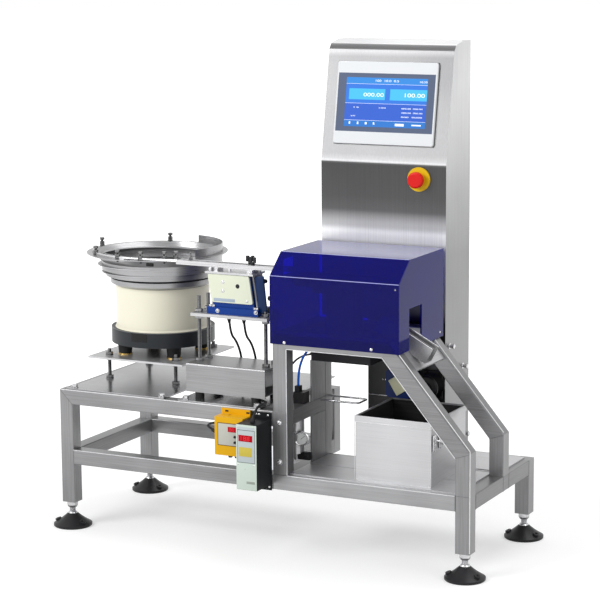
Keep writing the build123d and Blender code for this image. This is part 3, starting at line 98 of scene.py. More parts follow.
world = bpy.data.worlds.new("studio")
bpy.context.scene.world = world
world.use_nodes = True
sky, wired = world.node_tree.nodes, world.node_tree.links
sky.clear()
WHITE = (1.0, 1.0, 1.0, 1.0)
soft_light = add_node(sky, "ShaderNodeBackground", Color=WHITE, Strength=0.5)
white_surround = add_node(sky, "ShaderNodeBackground", Color=WHITE, Strength=1.0)
surround = sky.new("ShaderNodeMixShader")
wired.new(seen_directly(sky, wired), surround.inputs[0])
wired.new(soft_light.outputs[0], surround.inputs[1])
wired.new(white_surround.outputs[0], surround.inputs[2])
wired.new(surround.outputs[0], sky.new("ShaderNodeOutputWorld").inputs["Surface"])

MACHINE_MIDDLE = Vector((0.0, 0.0, 0.55))
for lamp_name, place, watts, across in (("key_lamp", (-2.6, -4.2, 3.4), 190.0, 2.6),
                                        ("fill_lamp", (4.2, -1.6, 2.2), 45.0, 2.4),
                                        ("top_lamp", (0.2, 1.2, 4.2), 75.0, 3.0)):
    lamp = bpy.data.objects.new(lamp_name, bpy.data.lights.new(lamp_name, "AREA"))
    lamp.data.energy = watts
    lamp.data.size = across
    lamp.location = place
    lamp.rotation_euler = (MACHINE_MIDDLE - lamp.location).to_track_quat("-Z", "Y").to_euler()
    bpy.context.scene.collection.objects.link(lamp)

floor_mesh = bmesh.new()
bmesh.ops.create_circle(floor_mesh, cap_ends=True, segments=64, radius=40.0)
floor_data = bpy.data.meshes.new("studio_floor")
floor_mesh.to_mesh(floor_data)
floor_mesh.free()
floor = bpy.data.objects.new("studio_floor", floor_data)
bpy.context.scene.collection.objects.link(floor)
floor_paint = bpy.data.materials.new("studio_floor_white")
floor_paint.use_nodes = True
paint, wired = floor_paint.node_tree.nodes, floor_paint.node_tree.links
paint.clear()
matt_white = add_node(paint, "ShaderNodeBsdfDiffuse", Color=(0.62, 0.62, 0.62, 1.0))
here, distance = paint.new("ShaderNodeTexCoord"), add_node(paint, "ShaderNodeVectorMath", "LENGTH")
away = add_node(paint, "ShaderNodeMapRange", From_Min=0.9, From_Max=3.0, To_Min=0.45, To_Max=1.0)
lift, glow = add_node(paint, "ShaderNodeMath", "MULTIPLY"), paint.new("ShaderNodeEmission")
both = paint.new("ShaderNodeAddShader")
wired.new(here.outputs["Object"], distance.inputs[0])
wired.new(distance.outputs["Value"], away.inputs["Value"])
wired.new(seen_directly(paint, wired), lift.inputs[0])
wired.new(away.outputs["Result"], lift.inputs[1])
wired.new(lift.outputs[0], glow.inputs["Strength"])
wired.new(matt_white.outputs[0], both.inputs[0])
wired.new(glow.outputs[0], both.inputs[1])
wired.new(both.outputs[0], paint.new("ShaderNodeOutputMaterial").inputs["Surface"])
floor_data.materials.append(floor_paint)
floor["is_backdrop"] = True

# Frame. Square stainless tube, 38 mm, cut with mitres, welded and ground flush, with a satin grain
# that runs along each tube. The welds show only as a fine line across the grain.


GRAIN_INPUTS = (("Vector", "Vector"), ("Dark", "Color"), ("Light", "Color"), ("Rough", "Float"))
GRAIN_OUTPUTS = (("Color", "Color"), ("Roughness", "Float"), ("Height", "Float"))


def new_group(name, inputs, outputs):
    """Starts a shader node group with named sockets, and gives it with its two ends."""
    group = bpy.data.node_groups.new(name, "ShaderNodeTree")
    for way, sockets in (("INPUT", inputs), ("OUTPUT", outputs)):
        for label, kind in sockets:
            group.interface.new_socket(label, in_out=way, socket_type="NodeSocket" + kind)
    return group, group.nodes.new("NodeGroupInput"), group.nodes.new("NodeGroupOutput")


def brushed_grain():
    """Node group: grain lines and broad cloudiness of brushed sheet, on coordinates stretched along it."""
    group, given, out = new_group("brushed_grain", GRAIN_INPUTS, GRAIN_OUTPUTS)
    parts, join = group.nodes, group.links
    lines = add_node(parts, "ShaderNodeTexNoise", Scale=1.0, Detail=5.0, Roughness=0.65)
    cloud = add_node(parts, "ShaderNodeTexNoise", Scale=5.0, Detail=2.0)
    here = parts.new("ShaderNodeTexCoord")
    blend, weight = add_node(parts, "ShaderNodeMath", "MULTIPLY_ADD"), add_node(parts, "ShaderNodeMath", "MULTIPLY")
    blend.inputs[1].default_value, weight.inputs[1].default_value = 0.55, 0.45
    spread = add_node(parts, "ShaderNodeMapRange", From_Min=0.34, From_Max=0.66)
    tint, rough = parts.new("ShaderNodeMix"), add_node(parts, "ShaderNodeMath", "MULTIPLY_ADD")
    tint.data_type = "RGBA"
    rough.inputs[1].default_value = 0.14
    for start, end in ((given.outputs["Vector"], lines.inputs["Vector"]),
                       (here.outputs["Object"], cloud.inputs["Vector"]),
                       (cloud.outputs["Fac"], weight.inputs[0]),
                       (lines.outputs["Fac"], blend.inputs[0]),
                       (weight.outputs[0], blend.inputs[2]),
                       (blend.outputs[0], spread.inputs["Value"]),
                       (spread.outputs[0], tint.inputs["Factor"]),
                       (given.outputs["Dark"], tint.inputs["A"]),
                       (given.outputs["Light"], tint.inputs["B"]),
                       (tint.outputs["Result"], out.inputs["Color"]),
                       (lines.outputs["Fac"], rough.inputs[0]),
                       (given.outputs["Rough"], rough.inputs[2]),
                       (rough.outputs[0], out.inputs["Roughness"]),
                       (lines.outputs["Fac"], out.inputs["Height"])):
        join.new(start, end)
    return group


grain_group = brushed_grain()


def surface(name, group, metallic=0.0, bump=0.2, depth=0.0004, stretch=(1, 1, 1), turn=(0, 0, 0), **values):
    """Material of one Principled shader whose colour, roughness and relief come from a shared node group."""
    material = bpy.data.materials.new(name)
    material.use_nodes = True
    parts, join = material.node_tree.nodes, material.node_tree.links
    shader = parts["Principled BSDF"]
    shader.inputs["Metallic"].default_value = metallic
    effect = parts.new("ShaderNodeGroup")
    effect.node_tree = group
    here, turned = parts.new("ShaderNodeTexCoord"), parts.new("ShaderNodeMapping")
    turned.inputs["Rotation"].default_value = turn
    turned.inputs["Scale"].default_value = stretch
    join.new(here.outputs["Object"], turned.inputs["Vector"])
    join.new(turned.outputs[0], effect.inputs["Vector"])
    for socket, value in values.items():
        effect.inputs[socket].default_value = value
    relief = parts.new("ShaderNodeBump")
    relief.inputs["Strength"].default_value = bump
    relief.inputs["Distance"].default_value = depth
    join.new(effect.outputs["Color"], shader.inputs["Base Color"])
    join.new(effect.outputs["Roughness"], shader.inputs["Roughness"])
    join.new(effect.outputs["Height"], relief.inputs["Height"])
    join.new(relief.outputs[0], shader.inputs["Normal"])
    return material


def grey(value, blue=1.0):
    """Neutral colour of this brightness, a touch cooler where blue is above one."""
    return (value, value, min(1.0, value * blue), 1.0)


def steel(name, low, high, stretch, rough=0.26, metallic=0.65, turn=(0, 0, 0), bump=0.12):
    """Brushed stainless finish between two brightnesses."""
    return surface(name, grain_group, metallic, bump, 0.0002, stretch, turn,
                   Dark=grey(low, 1.02), Light=grey(high, 1.02), Rough=rough)


def finish(material, *names):
    """Gives CAD nodes this material in all of their slots."""
    for name in names:
        slots = nodes[name].material_slots
        if not slots:
            nodes[name].data.materials.append(material)
        for slot in slots:
            slot.material = material


ALONG_X, ALONG_Y, ALONG_Z = (6, 420, 420), (420, 6, 420), (420, 420, 6)
# The copies are one tube with painted light and shade: the crosswise copy is darker for the rails' shaded side faces,
# and the base copy lighter for the bottom rails' brighter fronts.
tube_x = steel("satin_tube_lengthwise", 0.20, 0.32, ALONG_X)
tube_y_shaded = steel("satin_tube_crosswise_shaded", 0.15, 0.25, ALONG_Y)
tube_z = steel("satin_tube_upright", 0.19, 0.31, ALONG_Z)
SLANT_ANGLE = math.atan2(0.225, 0.190)
tube_slant = steel("satin_tube_sloping", 0.18, 0.29, ALONG_X, turn=(0, SLANT_ANGLE, 0))
finish(tube_x, "table_top_rails", "table_lower_rails", "weigher_top_rails")
finish(steel("satin_base_tube_painted_light", 0.26, 0.39, ALONG_X), "base_rails")
finish(tube_y_shaded, "cross_rails")
finish(tube_z, "table_legs", "weigher_posts", "weigher_legs")
finish(tube_slant, "slanted_rails")


def rod(mesh, start, end, radius, sides=10):
    """Adds a closed round bar from start to end, all in metres."""
    start, end = Vector(start), Vector(end)
    place = Matrix.Translation((start + end) / 2) @ (end - start).to_track_quat("Z", "Y").to_matrix().to_4x4()
    return bmesh.ops.create_cone(mesh, cap_ends=True, segments=sides, radius1=radius, radius2=radius,
                                 depth=(end - start).length, matrix=place)["verts"]


def make_piece(name, mesh, material, body="machine", sharp=0.6):
    """Turns a bmesh into a shown piece that rides on a body, with its faces outward and its flat faces kept flat."""
    bmesh.ops.remove_doubles(mesh, verts=mesh.verts, dist=1e-6)
    bmesh.ops.recalc_face_normals(mesh, faces=mesh.faces)
    data = bpy.data.meshes.new(name)
    mesh.to_mesh(data)
    mesh.free()
    data.shade_smooth()
    data.set_sharp_from_angle(angle=sharp)
    piece = bpy.data.objects.new(name, data)
    bpy.context.scene.collection.objects.link(piece)
    data.materials.append(material)
    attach(piece, body)
    return piece


def line_piece(name, runs, radius, material, sides=6):
    """Fine round lines from point to point: dark weld lines, and bright rods laid along bends and edges as painted
    highlights.
    """
    mesh = bmesh.new()
    for start, end in runs:
        rod(mesh, start, end, radius, sides)
    return make_piece(name, mesh, material)


FRONT, BRACE_FRONT = -0.1915, 0.0245
WELD_R, HIGHLIGHT_R = 0.0007, 0.0011
weld_runs, frame_highlight_runs = [], [
    ((-0.5690, FRONT, 0.3648), (0.0490, FRONT, 0.3648)), ((0.0880, FRONT, 0.2068), (0.5315, FRONT, 0.2068)),
    ((-0.5320, FRONT, 0.2068), (0.0490, FRONT, 0.2068)), ((0.0880, FRONT, 0.5232), (0.3427, FRONT, 0.5232)),
    ((0.0873, FRONT, 0.2080), (0.0873, FRONT, 0.5225)), ((0.3880, FRONT, 0.5334), (0.5698, FRONT, 0.3182)),
    ((0.5698, FRONT, 0.3175), (0.5698, FRONT, 0.070)), ((0.3430, FRONT, 0.5228), (0.5318, FRONT, 0.2972)),
    ((0.3880, BRACE_FRONT, 0.5334), (0.5698, BRACE_FRONT, 0.3182))]
for y in (FRONT, BRACE_FRONT):
    weld_runs += [((0.532, y, 0.298), (0.5683, y, 0.3105)), ((0.532, y, 0.169), (0.532, y, 0.207))]
weld_runs += [((-0.5695, FRONT, 0.3645), (-0.532, FRONT, 0.327)), ((-0.532, FRONT, 0.169), (-0.532, FRONT, 0.207)),
              ((-0.5695, FRONT + 0.001, 0.365), (-0.532, -0.1535, 0.365)),
              ((0.0495, FRONT, 0.169), (0.0495, FRONT, 0.207)), ((0.0495, FRONT, 0.207), (0.0875, FRONT, 0.207)),
              ((0.532, FRONT, 0.207), (0.570, FRONT, 0.207))]
weld_runs += [((0.570, y, 0.1692), (0.570, y, 0.2068)) for y in (-0.1535, 0.0245, 0.0625, 0.2025)]
line_piece("weld_lines", weld_runs, WELD_R, steel("ground_weld", 0.12, 0.26, (300, 300, 300), 0.4))
# Bright rods along the top front edges of the rails, posts and sloping rails are painted highlights.
line_piece("frame_painted_highlights", frame_highlight_runs, HIGHLIGHT_R, steel("painted_highlight_steel", 0.62, 0.86, (90, 90, 90), 0.25, 0.5))

# Joint plate. Flat stainless strip over the butt joint of table and weigher frame, held by two
# button-head bolts; the same hex bolts and washers hold the plates on the table.
finish(steel("joint_plate_steel", 0.20, 0.32, ALONG_Z), "joint_plate")


def turned_on(mesh, place, outline, steps=24):
    """Spins an outline of (radius, height) points round the z axis of a placing matrix."""
    before = set(mesh.verts)
    points = [mesh.verts.new((r, 0.0, z)) for r, z in outline]
    edges = [mesh.edges.new(pair) for pair in zip(points, points[1:])]
    bmesh.ops.spin(mesh, geom=points + edges, cent=(0, 0, 0), axis=(0, 0, 1), angle=math.tau,
                   steps=steps, use_merge=True, use_duplicate=False)
    made = [v for v in mesh.verts if v not in before]
    bmesh.ops.transform(mesh, matrix=place, verts=made)
    bmesh.ops.remove_doubles(mesh, verts=made, dist=2e-6)


def facing(place, direction):
    """Matrix that stands a turned part on a point with its z axis along a direction."""
    return Matrix.Translation(place) @ Vector(direction).to_track_quat("Z", "Y").to_matrix().to_4x4()


def disc(radius, height):
    """Outline of a plain round plate or washer."""
    return (0, 0), (radius, 0), (radius, height), (0, height)


def hexagon(mesh, seat, corner, height, chamfer):
    """Adds a hexagonal block round the middle of a placing matrix, with both of its ends chamfered."""
    made = bmesh.ops.create_cone(mesh, cap_ends=True, segments=6, radius1=corner, radius2=corner, depth=height,
                                 matrix=seat)["verts"]
    rim = [e for e in mesh.edges if e.verts[0] in made and e.verts[1] in made
           and abs(e.calc_length() - corner) < 1e-6]
    bmesh.ops.bevel(mesh, geom=rim, offset=chamfer, affect="EDGES", segments=1, profile=0.5, material=-1)


def hex_bolt(mesh, place, direction, flats, height, washer=0.0, washer_t=0.0015):
    """Adds a hexagon head with a chamfered crown on a washer, standing on a surface."""
    stand = facing(place, direction)
    if washer:
        turned_on(mesh, stand, ((0, 0), (washer, 0), (washer, washer_t * 0.8), (washer * 0.97, washer_t),
                                (0, washer_t)))
    seat = stand @ Matrix.Translation((0, 0, (washer_t if washer else 0) + height / 2))
    hexagon(mesh, seat, flats / math.sqrt(3), height, flats * 0.05)


def button_bolt(mesh, place, direction, radius, height, socket=True):
    """Adds a domed button head with a hexagon socket."""
    stand = facing(place, direction)
    dome = [(radius * math.cos(a), height * math.sin(a)) for a in (0, 0.35, 0.7, 1.0, 1.2)]
    well = radius * 0.42
    outline = [(0, 0), (radius, 0)] + dome[1:] + [(well, height * 0.97)]
    outline += [(well, height * 0.45), (0, height * 0.45)] if socket else [(0, height)]
    turned_on(mesh, stand, outline, 18)


bright_bolt = steel("bright_bolt_steel", 0.45, 0.72, (160, 160, 160), 0.18, metallic=0.9)
joint_bolts = bmesh.new()
for z in (0.339, 0.241):
    turned_on(joint_bolts, facing((0.0685, -0.1945, z), (0, -1, 0)), disc(0.0085, 0.0012))
    button_bolt(joint_bolts, (0.0685, -0.1957, z), (0, -1, 0), 0.0062, 0.0036)
make_piece("joint_plate_bolts", joint_bolts, bright_bolt)

# Levelling feet. Moulded black discs with a rubber sole and two drilled lugs, on a zinc-bright
# threaded stud with a hexagon lock nut run up under the leg.
plastic_group, given, out = new_group("moulded_grain", GRAIN_INPUTS, GRAIN_OUTPUTS)
parts, join = plastic_group.nodes, plastic_group.links
speckle = add_node(parts, "ShaderNodeTexNoise", Scale=900.0, Detail=2.0)
haze = add_node(parts, "ShaderNodeTexNoise", Scale=14.0, Detail=3.0)
tint, dull = parts.new("ShaderNodeMix"), add_node(parts, "ShaderNodeMath", "MULTIPLY_ADD")
tint.data_type = "RGBA"
dull.inputs[1].default_value = 0.16
for noise in (speckle, haze):
    join.new(given.outputs["Vector"], noise.inputs["Vector"])
join.new(haze.outputs["Fac"], tint.inputs["Factor"])
join.new(given.outputs["Dark"], tint.inputs["A"])
join.new(given.outputs["Light"], tint.inputs["B"])
join.new(haze.outputs["Fac"], dull.inputs[0])
join.new(given.outputs["Rough"], dull.inputs[2])
join.new(tint.outputs["Result"], out.inputs["Color"])
join.new(dull.outputs[0], out.inputs["Roughness"])
join.new(speckle.outputs["Fac"], out.inputs["Height"])


def moulded(name, colour, rough=0.35, bump=0.25, vary=0.82, metallic=0.0, coat=0.0, gloss=0.22):
    """Moulded plastic, rubber or paint of one colour with slight variation and a fine texture."""
    made = surface(name, plastic_group, metallic, bump, 0.00012,
                   Dark=(*(c * vary for c in colour), 1.0), Light=(*colour, 1.0), Rough=rough)
    made.node_tree.nodes["Principled BSDF"].inputs["Coat Weight"].default_value = coat
    made.node_tree.nodes["Principled BSDF"].inputs["Specular IOR Level"].default_value = gloss
    return made


foot_black = moulded("foot_black_plastic", (0.022, 0.022, 0.024), 0.3, 0.4, 0.6)
finish(foot_black, "foot_discs")
foot_places = [(x, y) for x in (-0.551, 0.551) for y in (-0.1725, 0.2215)]
lugs, threads, lock_nuts = bmesh.new(), bmesh.new(), bmesh.new()


def thread_outline(radius, low, high, pitch=0.0016):
    """Outline of a screw thread, drawn as close rings from low to high."""
    rings = max(2, round((high - low) / pitch))
    step = (high - low) / rings
    outline = [(0, low), (radius * 0.86, low)]
    for ring in range(rings):
        outline += [(radius, low + (ring + 0.5) * step), (radius * 0.86, low + (ring + 1) * step)]
    return outline + [(0, high)]


NUT_LOW, NUT_TOP, NUT_CORNER = 0.054, 0.066, 0.0139
for x, y in foot_places:
    foot = Matrix.Translation((x, y, 0))
    turned_on(threads, foot, thread_outline(0.008, 0.034, 0.0655), 20)
    turned_on(lock_nuts, foot, ((0.0083, NUT_LOW - 0.004), (0.0115, NUT_LOW - 0.004), (0.0135, NUT_LOW),
                                (0.0083, NUT_LOW)), 24)
    nut_middle = foot @ Matrix.Translation((0, 0, (NUT_TOP + NUT_LOW) / 2))
    hexagon(lock_nuts, nut_middle, NUT_CORNER, NUT_TOP - NUT_LOW, 0.0012)
    turned_on(threads, foot, ((0.0, 0.030), (0.0125, 0.030), (0.0125, 0.0345), (0.0105, 0.0375), (0.0, 0.0375)), 24)
    for side in (-1, 1):
        turned_on(lugs, facing((x + side * 0.036, y - 0.012, 0.0125), (side * 0.35, -0.12, 1)),
                  ((0.0028, 0), (0.0075, 0), (0.0082, 0.004), (0.0075, 0.0062), (0.0045, 0.0062), (0.0035, 0.0045),
                   (0.0028, 0.0045), (0.0028, 0)), 18)
make_piece("foot_lugs", lugs, foot_black)
stud_piece = make_piece("foot_threads", threads, bright_bolt)
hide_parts("foot_studs")
make_piece("foot_lock_nuts", lock_nuts, bright_bolt)

# Plates. Brushed stainless sheet: two on the table under the feeders and three on the base rails,
# each held by hexagon bolts with washers.
sheet_x = steel("brushed_plate", 0.26, 0.42, (8, 400, 400), 0.16, metallic=0.92)
finish(sheet_x, "table_plates")
finish(steel("base_plate_steel", 0.42, 0.60, (8, 300, 300), 0.3), "base_plates")
table_bolts = bmesh.new()
for y in (-0.173, 0.222):
    for x in (-0.5345, -0.276, -0.206, -0.004):
        hex_bolt(table_bolts, (x, y, 0.369), (0, 0, 1), 0.013, 0.0065, 0.0092)
make_piece("table_plate_bolts", table_bolts, bright_bolt)

# Raised plate. Stainless plate carried on four threaded rods with nuts and washers; the feeder
# stands on it on rubber buffers with brass washers.
finish(steel("raised_plate_steel", 0.38, 0.60, (8, 300, 300), 0.28), "raised_plate")


def rods_and_nuts(places, foot, top, under, over):
    """Threaded rods with a nut and washer at the foot and on both sides of the plate they carry."""
    mesh = bmesh.new()
    for x, y in places:
        turned_on(mesh, Matrix.Translation((x, y, 0)), thread_outline(0.005, foot, top, 0.0017), 16)
        for z, way in ((foot, 1), (under, -1), (over, 1)):
            hex_bolt(mesh, (x, y, z), (0, 0, way), 0.0165, 0.0075, 0.0105, 0.0012)
    return mesh


bowl_rods = rods_and_nuts([(x, y) for x in (-0.515, -0.315) for y in (-0.033, 0.169)], 0.369, 0.448, 0.426, 0.431)
rod_steel = steel("threaded_rod_steel", 0.16, 0.32, (160, 160, 160), 0.22, metallic=0.9)
bowl_rods_piece = make_piece("bowl_rods", bowl_rods, rod_steel)
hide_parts("raised_plate_rods")

# Bowl drive. Black cast base ring on four rubber buffers, cream painted steel cover with a rolled
# foot, and a turned steel ring on top that the bowl is clamped to.
rubber = moulded("black_rubber", (0.02, 0.02, 0.021), 0.55, 0.35, 0.7)
finish(rubber, "bowl_rubber_feet", "channel_rubber_mounts")
finish(moulded("base_ring_black", (0.024, 0.028, 0.033), 0.32, 0.3, 0.7), "drive_base_ring")
cream = moulded("cream_paint", (0.90, 0.87, 0.71), 0.28, 0.12, 0.97)
finish(cream, "drive_cover")
finish(steel("clamping_ring_steel", 0.22, 0.38, (12, 12, 900), 0.22), "clamping_ring")
BOWL_X, BOWL_Y = -0.410, 0.0695
brass = surface("brass_washer", grain_group, 0.9, 0.1, 0.0002, (200, 200, 200),
                Dark=(0.55, 0.36, 0.10, 1), Light=(0.80, 0.56, 0.20, 1), Rough=0.2)
brass_washers = bmesh.new()
for corner in range(4):
    a = math.radians(45 + 90 * corner)
    place = Matrix.Translation((BOWL_X + 0.104 * math.cos(a), BOWL_Y + 0.104 * math.sin(a), 0.431))
    turned_on(brass_washers, place, ((0, 0), (0.0185, 0), (0.0185, 0.0034), (0.0178, 0.004), (0, 0.004)), 32)
    turned_on(brass_washers, place @ Matrix.Translation((0, 0, 0.027)), disc(0.015, 0.0055), 32)
make_piece("brass_washers", brass_washers, brass)

# Feed bowl. Spun stainless bowl in steps that widen to a flat rolled rim, with a welded track that
# climbs the inside and a raised guide wall on the rim.
bowl_steel = steel("spun_bowl_steel", 0.22, 0.38, (12, 12, 900), 0.22, metallic=0.75, bump=0.02)
finish(bowl_steel, "feed_bowl", "bowl_guide_wall")
RIM_X, RIM_Y, RIM_TOP = -0.4205, 0.064, 0.700
rim_centre = Matrix.Translation((RIM_X, RIM_Y, 0.0))


def block(mesh, low, high, round_by=0.0, place=Matrix(), segments=2):
    """Adds a box between two corners, its edges rounded where round_by is given."""
    low, high = Vector(low), Vector(high)
    size = Matrix.Diagonal((*(high - low), 1.0))
    seat = place @ Matrix.Translation((low + high) / 2) @ size
    made = bmesh.ops.create_cube(mesh, size=1.0, matrix=seat)["verts"]
    if round_by:
        edges = list({e for v in made for e in v.link_edges})
        bmesh.ops.bevel(mesh, geom=edges, offset=round_by, affect="EDGES", segments=segments, profile=0.5,
                        material=-1)


def block_piece(name, low, high, round_by, material, place=Matrix()):
    """One block as a shown piece of its own."""
    mesh = bmesh.new()
    block(mesh, low, high, round_by, place)
    return make_piece(name, mesh, material)


def ring_part(mesh, inner, outer, low, high, start, sweep, climb=0.0, steps=72):
    """Adds a flat bar bent round the bowl's axis, which may climb as a screw does."""
    corners = [mesh.verts.new((r, 0.0, z)) for r, z in ((inner, low), (outer, low), (outer, high), (inner, high))]
    edges = [mesh.edges.new((corners[i - 1], corners[i])) for i in range(4)]
    before = set(mesh.verts) - set(corners)
    bmesh.ops.rotate(mesh, verts=corners, cent=(0, 0, 0), matrix=Matrix.Rotation(math.radians(start), 3, "Z"))
    bmesh.ops.spin(mesh, geom=corners + edges, cent=(0, 0, 0), axis=(0, 0, 1), dvec=(0, 0, climb / steps),
                   angle=math.radians(sweep), steps=steps, use_duplicate=False)
    made = [v for v in mesh.verts if v not in before]
    bmesh.ops.holes_fill(mesh, edges=list({e for v in made for e in v.link_edges if e.is_boundary}), sides=4)
    bmesh.ops.transform(mesh, matrix=rim_centre, verts=made)


def drive_ring(name, ring, material):
    """One bent bar as a piece, round the drive's axis instead of the rim's."""
    mesh = bmesh.new()
    ring_part(mesh, *ring)
    bmesh.ops.translate(mesh, verts=mesh.verts, vec=(BOWL_X - RIM_X, BOWL_Y - RIM_Y, 0.0))
    make_piece(name, mesh, material)


bowl_track = bmesh.new()
ring_part(bowl_track, 0.122, 0.1465, 0.6435, 0.6450, 60, 330, 0.011)
ring_part(bowl_track, 0.131, 0.1570, 0.6590, 0.6605, 30, 350, 0.017)
ring_part(bowl_track, 0.143, 0.1690, 0.6810, 0.6825, 20, 250, 0.013)
track_weld_steel = steel("track_weld_steel", 0.34, 0.52, (12, 12, 900), 0.26, 0.75, bump=0.02)
make_piece("bowl_spiral_track", bowl_track, track_weld_steel)
outlet = bmesh.new()
ring_part(outlet, 0.1655, 0.1695, 0.7002, 0.7062, 196, 74)
ring_part(outlet, 0.1500, 0.1530, 0.6975, 0.7045, 236, 34)
for radius, low in ((0.1675, 0.7032), (0.1515, 0.7010)):
    rod(outlet, (RIM_X, RIM_Y - radius, low), (-0.259, RIM_Y - radius, 0.7045), 0.0026, 12)
make_piece("bowl_outlet_bars", outlet, bright_bolt)
rim_screws = bmesh.new()
for angle, radius in ((175, 0.181), (228, 0.1675), (263, 0.1675), (286, 0.1745), (306, 0.1735), (316, 0.1735),
                      (109, 0.1745)):
    a = math.radians(angle)
    stand = Matrix.Translation((RIM_X + radius * math.cos(a), RIM_Y + radius * math.sin(a), RIM_TOP))
    turned_on(rim_screws, stand, thread_outline(0.0034, -0.0085, 0.0225, 0.0014), 14)
    for z in (0.0005, 0.0065, 0.0165):
        hex_bolt(rim_screws, stand @ Vector((0, 0, z)), (0, 0, 1), 0.0112, 0.0052, 0.0068, 0.0008)
stand = Matrix.Translation((-0.233, -0.0885, 0.709))
turned_on(rim_screws, stand, thread_outline(0.0026, -0.004, 0.018, 0.0012), 14)
hex_bolt(rim_screws, stand @ Vector((0, 0, 0.0002)), (0, 0, 1), 0.0085, 0.0045, 0.0058, 0.0008)
screw_steel = steel("screw_steel", 0.10, 0.26, (160, 160, 160), 0.2, 0.9)
make_piece("bowl_rim_screws", rim_screws, screw_steel)
# The black ring in the gap between the bowl and the clamping ring is painted shade, drawn in the rubber material.
drive_ring("bowl_gap_painted_shade", (0.1300, 0.1335, 0.6328, 0.6402, 0, 360), rubber)
drive_ring("base_ring_window", (0.1352, 0.1366, 0.4790, 0.5005, 263, 19, 0.0, 12),
           moulded("window_black", (0.006, 0.006, 0.007), 0.12, 0.05, 0.7))
# A lighter grey ring runs along the base ring's top edge.
drive_ring("base_ring_edge", (0.1348, 0.1364, 0.5012, 0.5026, 0, 360),
           moulded("base_ring_edge_grey", (0.16, 0.17, 0.18), 0.3, 0.1, 0.7))
block_piece("rim_notch", (-0.3525, -0.1095, 0.6872), (-0.3325, -0.1045, 0.6955), 0.0008,
            moulded("notch_dark", (0.006, 0.006, 0.006), 0.5, 0.1, 0.7))

# Linear feeder. Folded stainless channel on rubber mounts, a drive plate on threaded rods, and the
# blue cast drive between leaf springs that shakes the track.
finish(steel("channel_steel", 0.22, 0.33, (8, 500, 500), 0.26), "channel_stand")
finish(steel("drive_plate_steel", 0.34, 0.56, (8, 300, 300), 0.26), "drive_plate")
drive_rods = rods_and_nuts([(-0.192, -0.12225), (-0.192, -0.07475)], 0.458, 0.625, 0.576, 0.584)
make_piece("drive_rods_left", drive_rods, rod_steel)
drive_rods = rods_and_nuts([(-0.004, -0.12225), (-0.004, -0.07475)], 0.458, 0.598, 0.576, 0.584)
rods_piece = make_piece("drive_rods_right", drive_rods, rod_steel)
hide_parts("drive_plate_rods")
blue_cast = moulded("blue_cast_paint", (0.0015, 0.045, 0.29), 0.3, 0.3, 0.75)
finish(blue_cast, "linear_drive")
finish(steel("leaf_spring_steel", 0.25, 0.4, (300, 300, 30), 0.3), "drive_leaf_springs")
finish(moulded("side_plate_cream", (0.80, 0.84, 0.68), 0.3, 0.12, 0.95), "linear_drive_cover")
finish(steel("track_steel", 0.36, 0.62, (8, 300, 300), 0.2, metallic=0.8), "track_plate", "feed_track")

drive_bolts = bmesh.new()
COVER_FACE = -0.1315
for x, z, radius in ((-0.1182, 0.6658, 0.0046), (-0.1186, 0.6431, 0.0046), (-0.0512, 0.6210, 0.0034)):
    button_bolt(drive_bolts, (x, COVER_FACE, z), (0, -1, 0), radius, 0.0018)
for x, z in ((-0.1343, 0.5925), (-0.0263, 0.5950)):
    turned_on(drive_bolts, facing((x, COVER_FACE, z), (0, -1, 0)), disc(0.0052, 0.001), 20)
    button_bolt(drive_bolts, (x, COVER_FACE - 0.001, z), (0, -1, 0), 0.0038, 0.003)
for x in (-0.158, -0.149, -0.034, -0.027):
    hex_bolt(drive_bolts, (x, -0.124, 0.601), (0, 0, 1), 0.007, 0.0045, 0.0045, 0.0008)
for x, y in ((-0.160, -0.120), (-0.105, -0.120), (-0.043, -0.120), (-0.160, -0.077), (-0.043, -0.077)):
    turned_on(drive_bolts, Matrix.Translation((x, y, 0.690)), disc(0.0042, 0.0085), 16)
make_piece("linear_drive_bolts", drive_bolts, bright_bolt)
drive_dark = bmesh.new()
turned_on(drive_dark, facing((-0.0771, COVER_FACE, 0.6576), (0, -1, 0)),
          ((0, 0), (0.0056, 0), (0.0052, 0.0008), (0.003, 0.0008), (0, 0.0002)), 28)
for z in (0.672, 0.630, 0.600):
    hex_bolt(drive_dark, (0.0005 if z < 0.65 else -0.012, -0.1125, z), (1, -0.15, 0.12), 0.009, 0.006, 0.006, 0.001)
for x, y, turn in ((-0.063, -0.0895, 20), (-0.046, -0.1085, -15)):
    stand = Matrix.Translation((x, y, 0.709)) @ Matrix.Rotation(math.radians(turn), 4, "Z")
    turned_on(drive_dark, stand, ((0, 0), (0.0055, 0), (0.0055, 0.006), (0.004, 0.008), (0, 0.008)), 20)
    block(drive_dark, (-0.011, -0.0018, 0.006), (-0.002, 0.0018, 0.021), 0.0014, stand)
    block(drive_dark, (0.002, -0.0018, 0.006), (0.011, 0.0018, 0.021), 0.0014, stand)
black_oxide = moulded("black_oxide_steel", (0.03, 0.031, 0.033), 0.3, 0.2, 0.6, metallic=0.5)
make_piece("linear_drive_dark_parts", drive_dark, black_oxide)
block_piece("side_plate_strip", (-0.1450, COVER_FACE - 0.0004, 0.6165), (-0.0850, COVER_FACE + 0.0002, 0.6245), 0.0002,
            moulded("pale_strip", (0.42, 0.50, 0.60), 0.35, 0.1, 0.9))
ear, ear_lean = bmesh.new(), Matrix.Rotation(math.radians(-6), 4, "Y")
block(ear, (-0.0285, -0.1215, 0.598), (-0.0035, -0.1150, 0.690), 0.0022, Matrix.Translation((0.006, 0, 0)) @ ear_lean)
bmesh.ops.translate(ear, verts=ear.verts, vec=(0.059, 0.0, 0.0))
make_piece("linear_drive_ear", ear, moulded("ear_blue_paint", (0.002, 0.022, 0.10), 0.25, 0.2, 0.8))
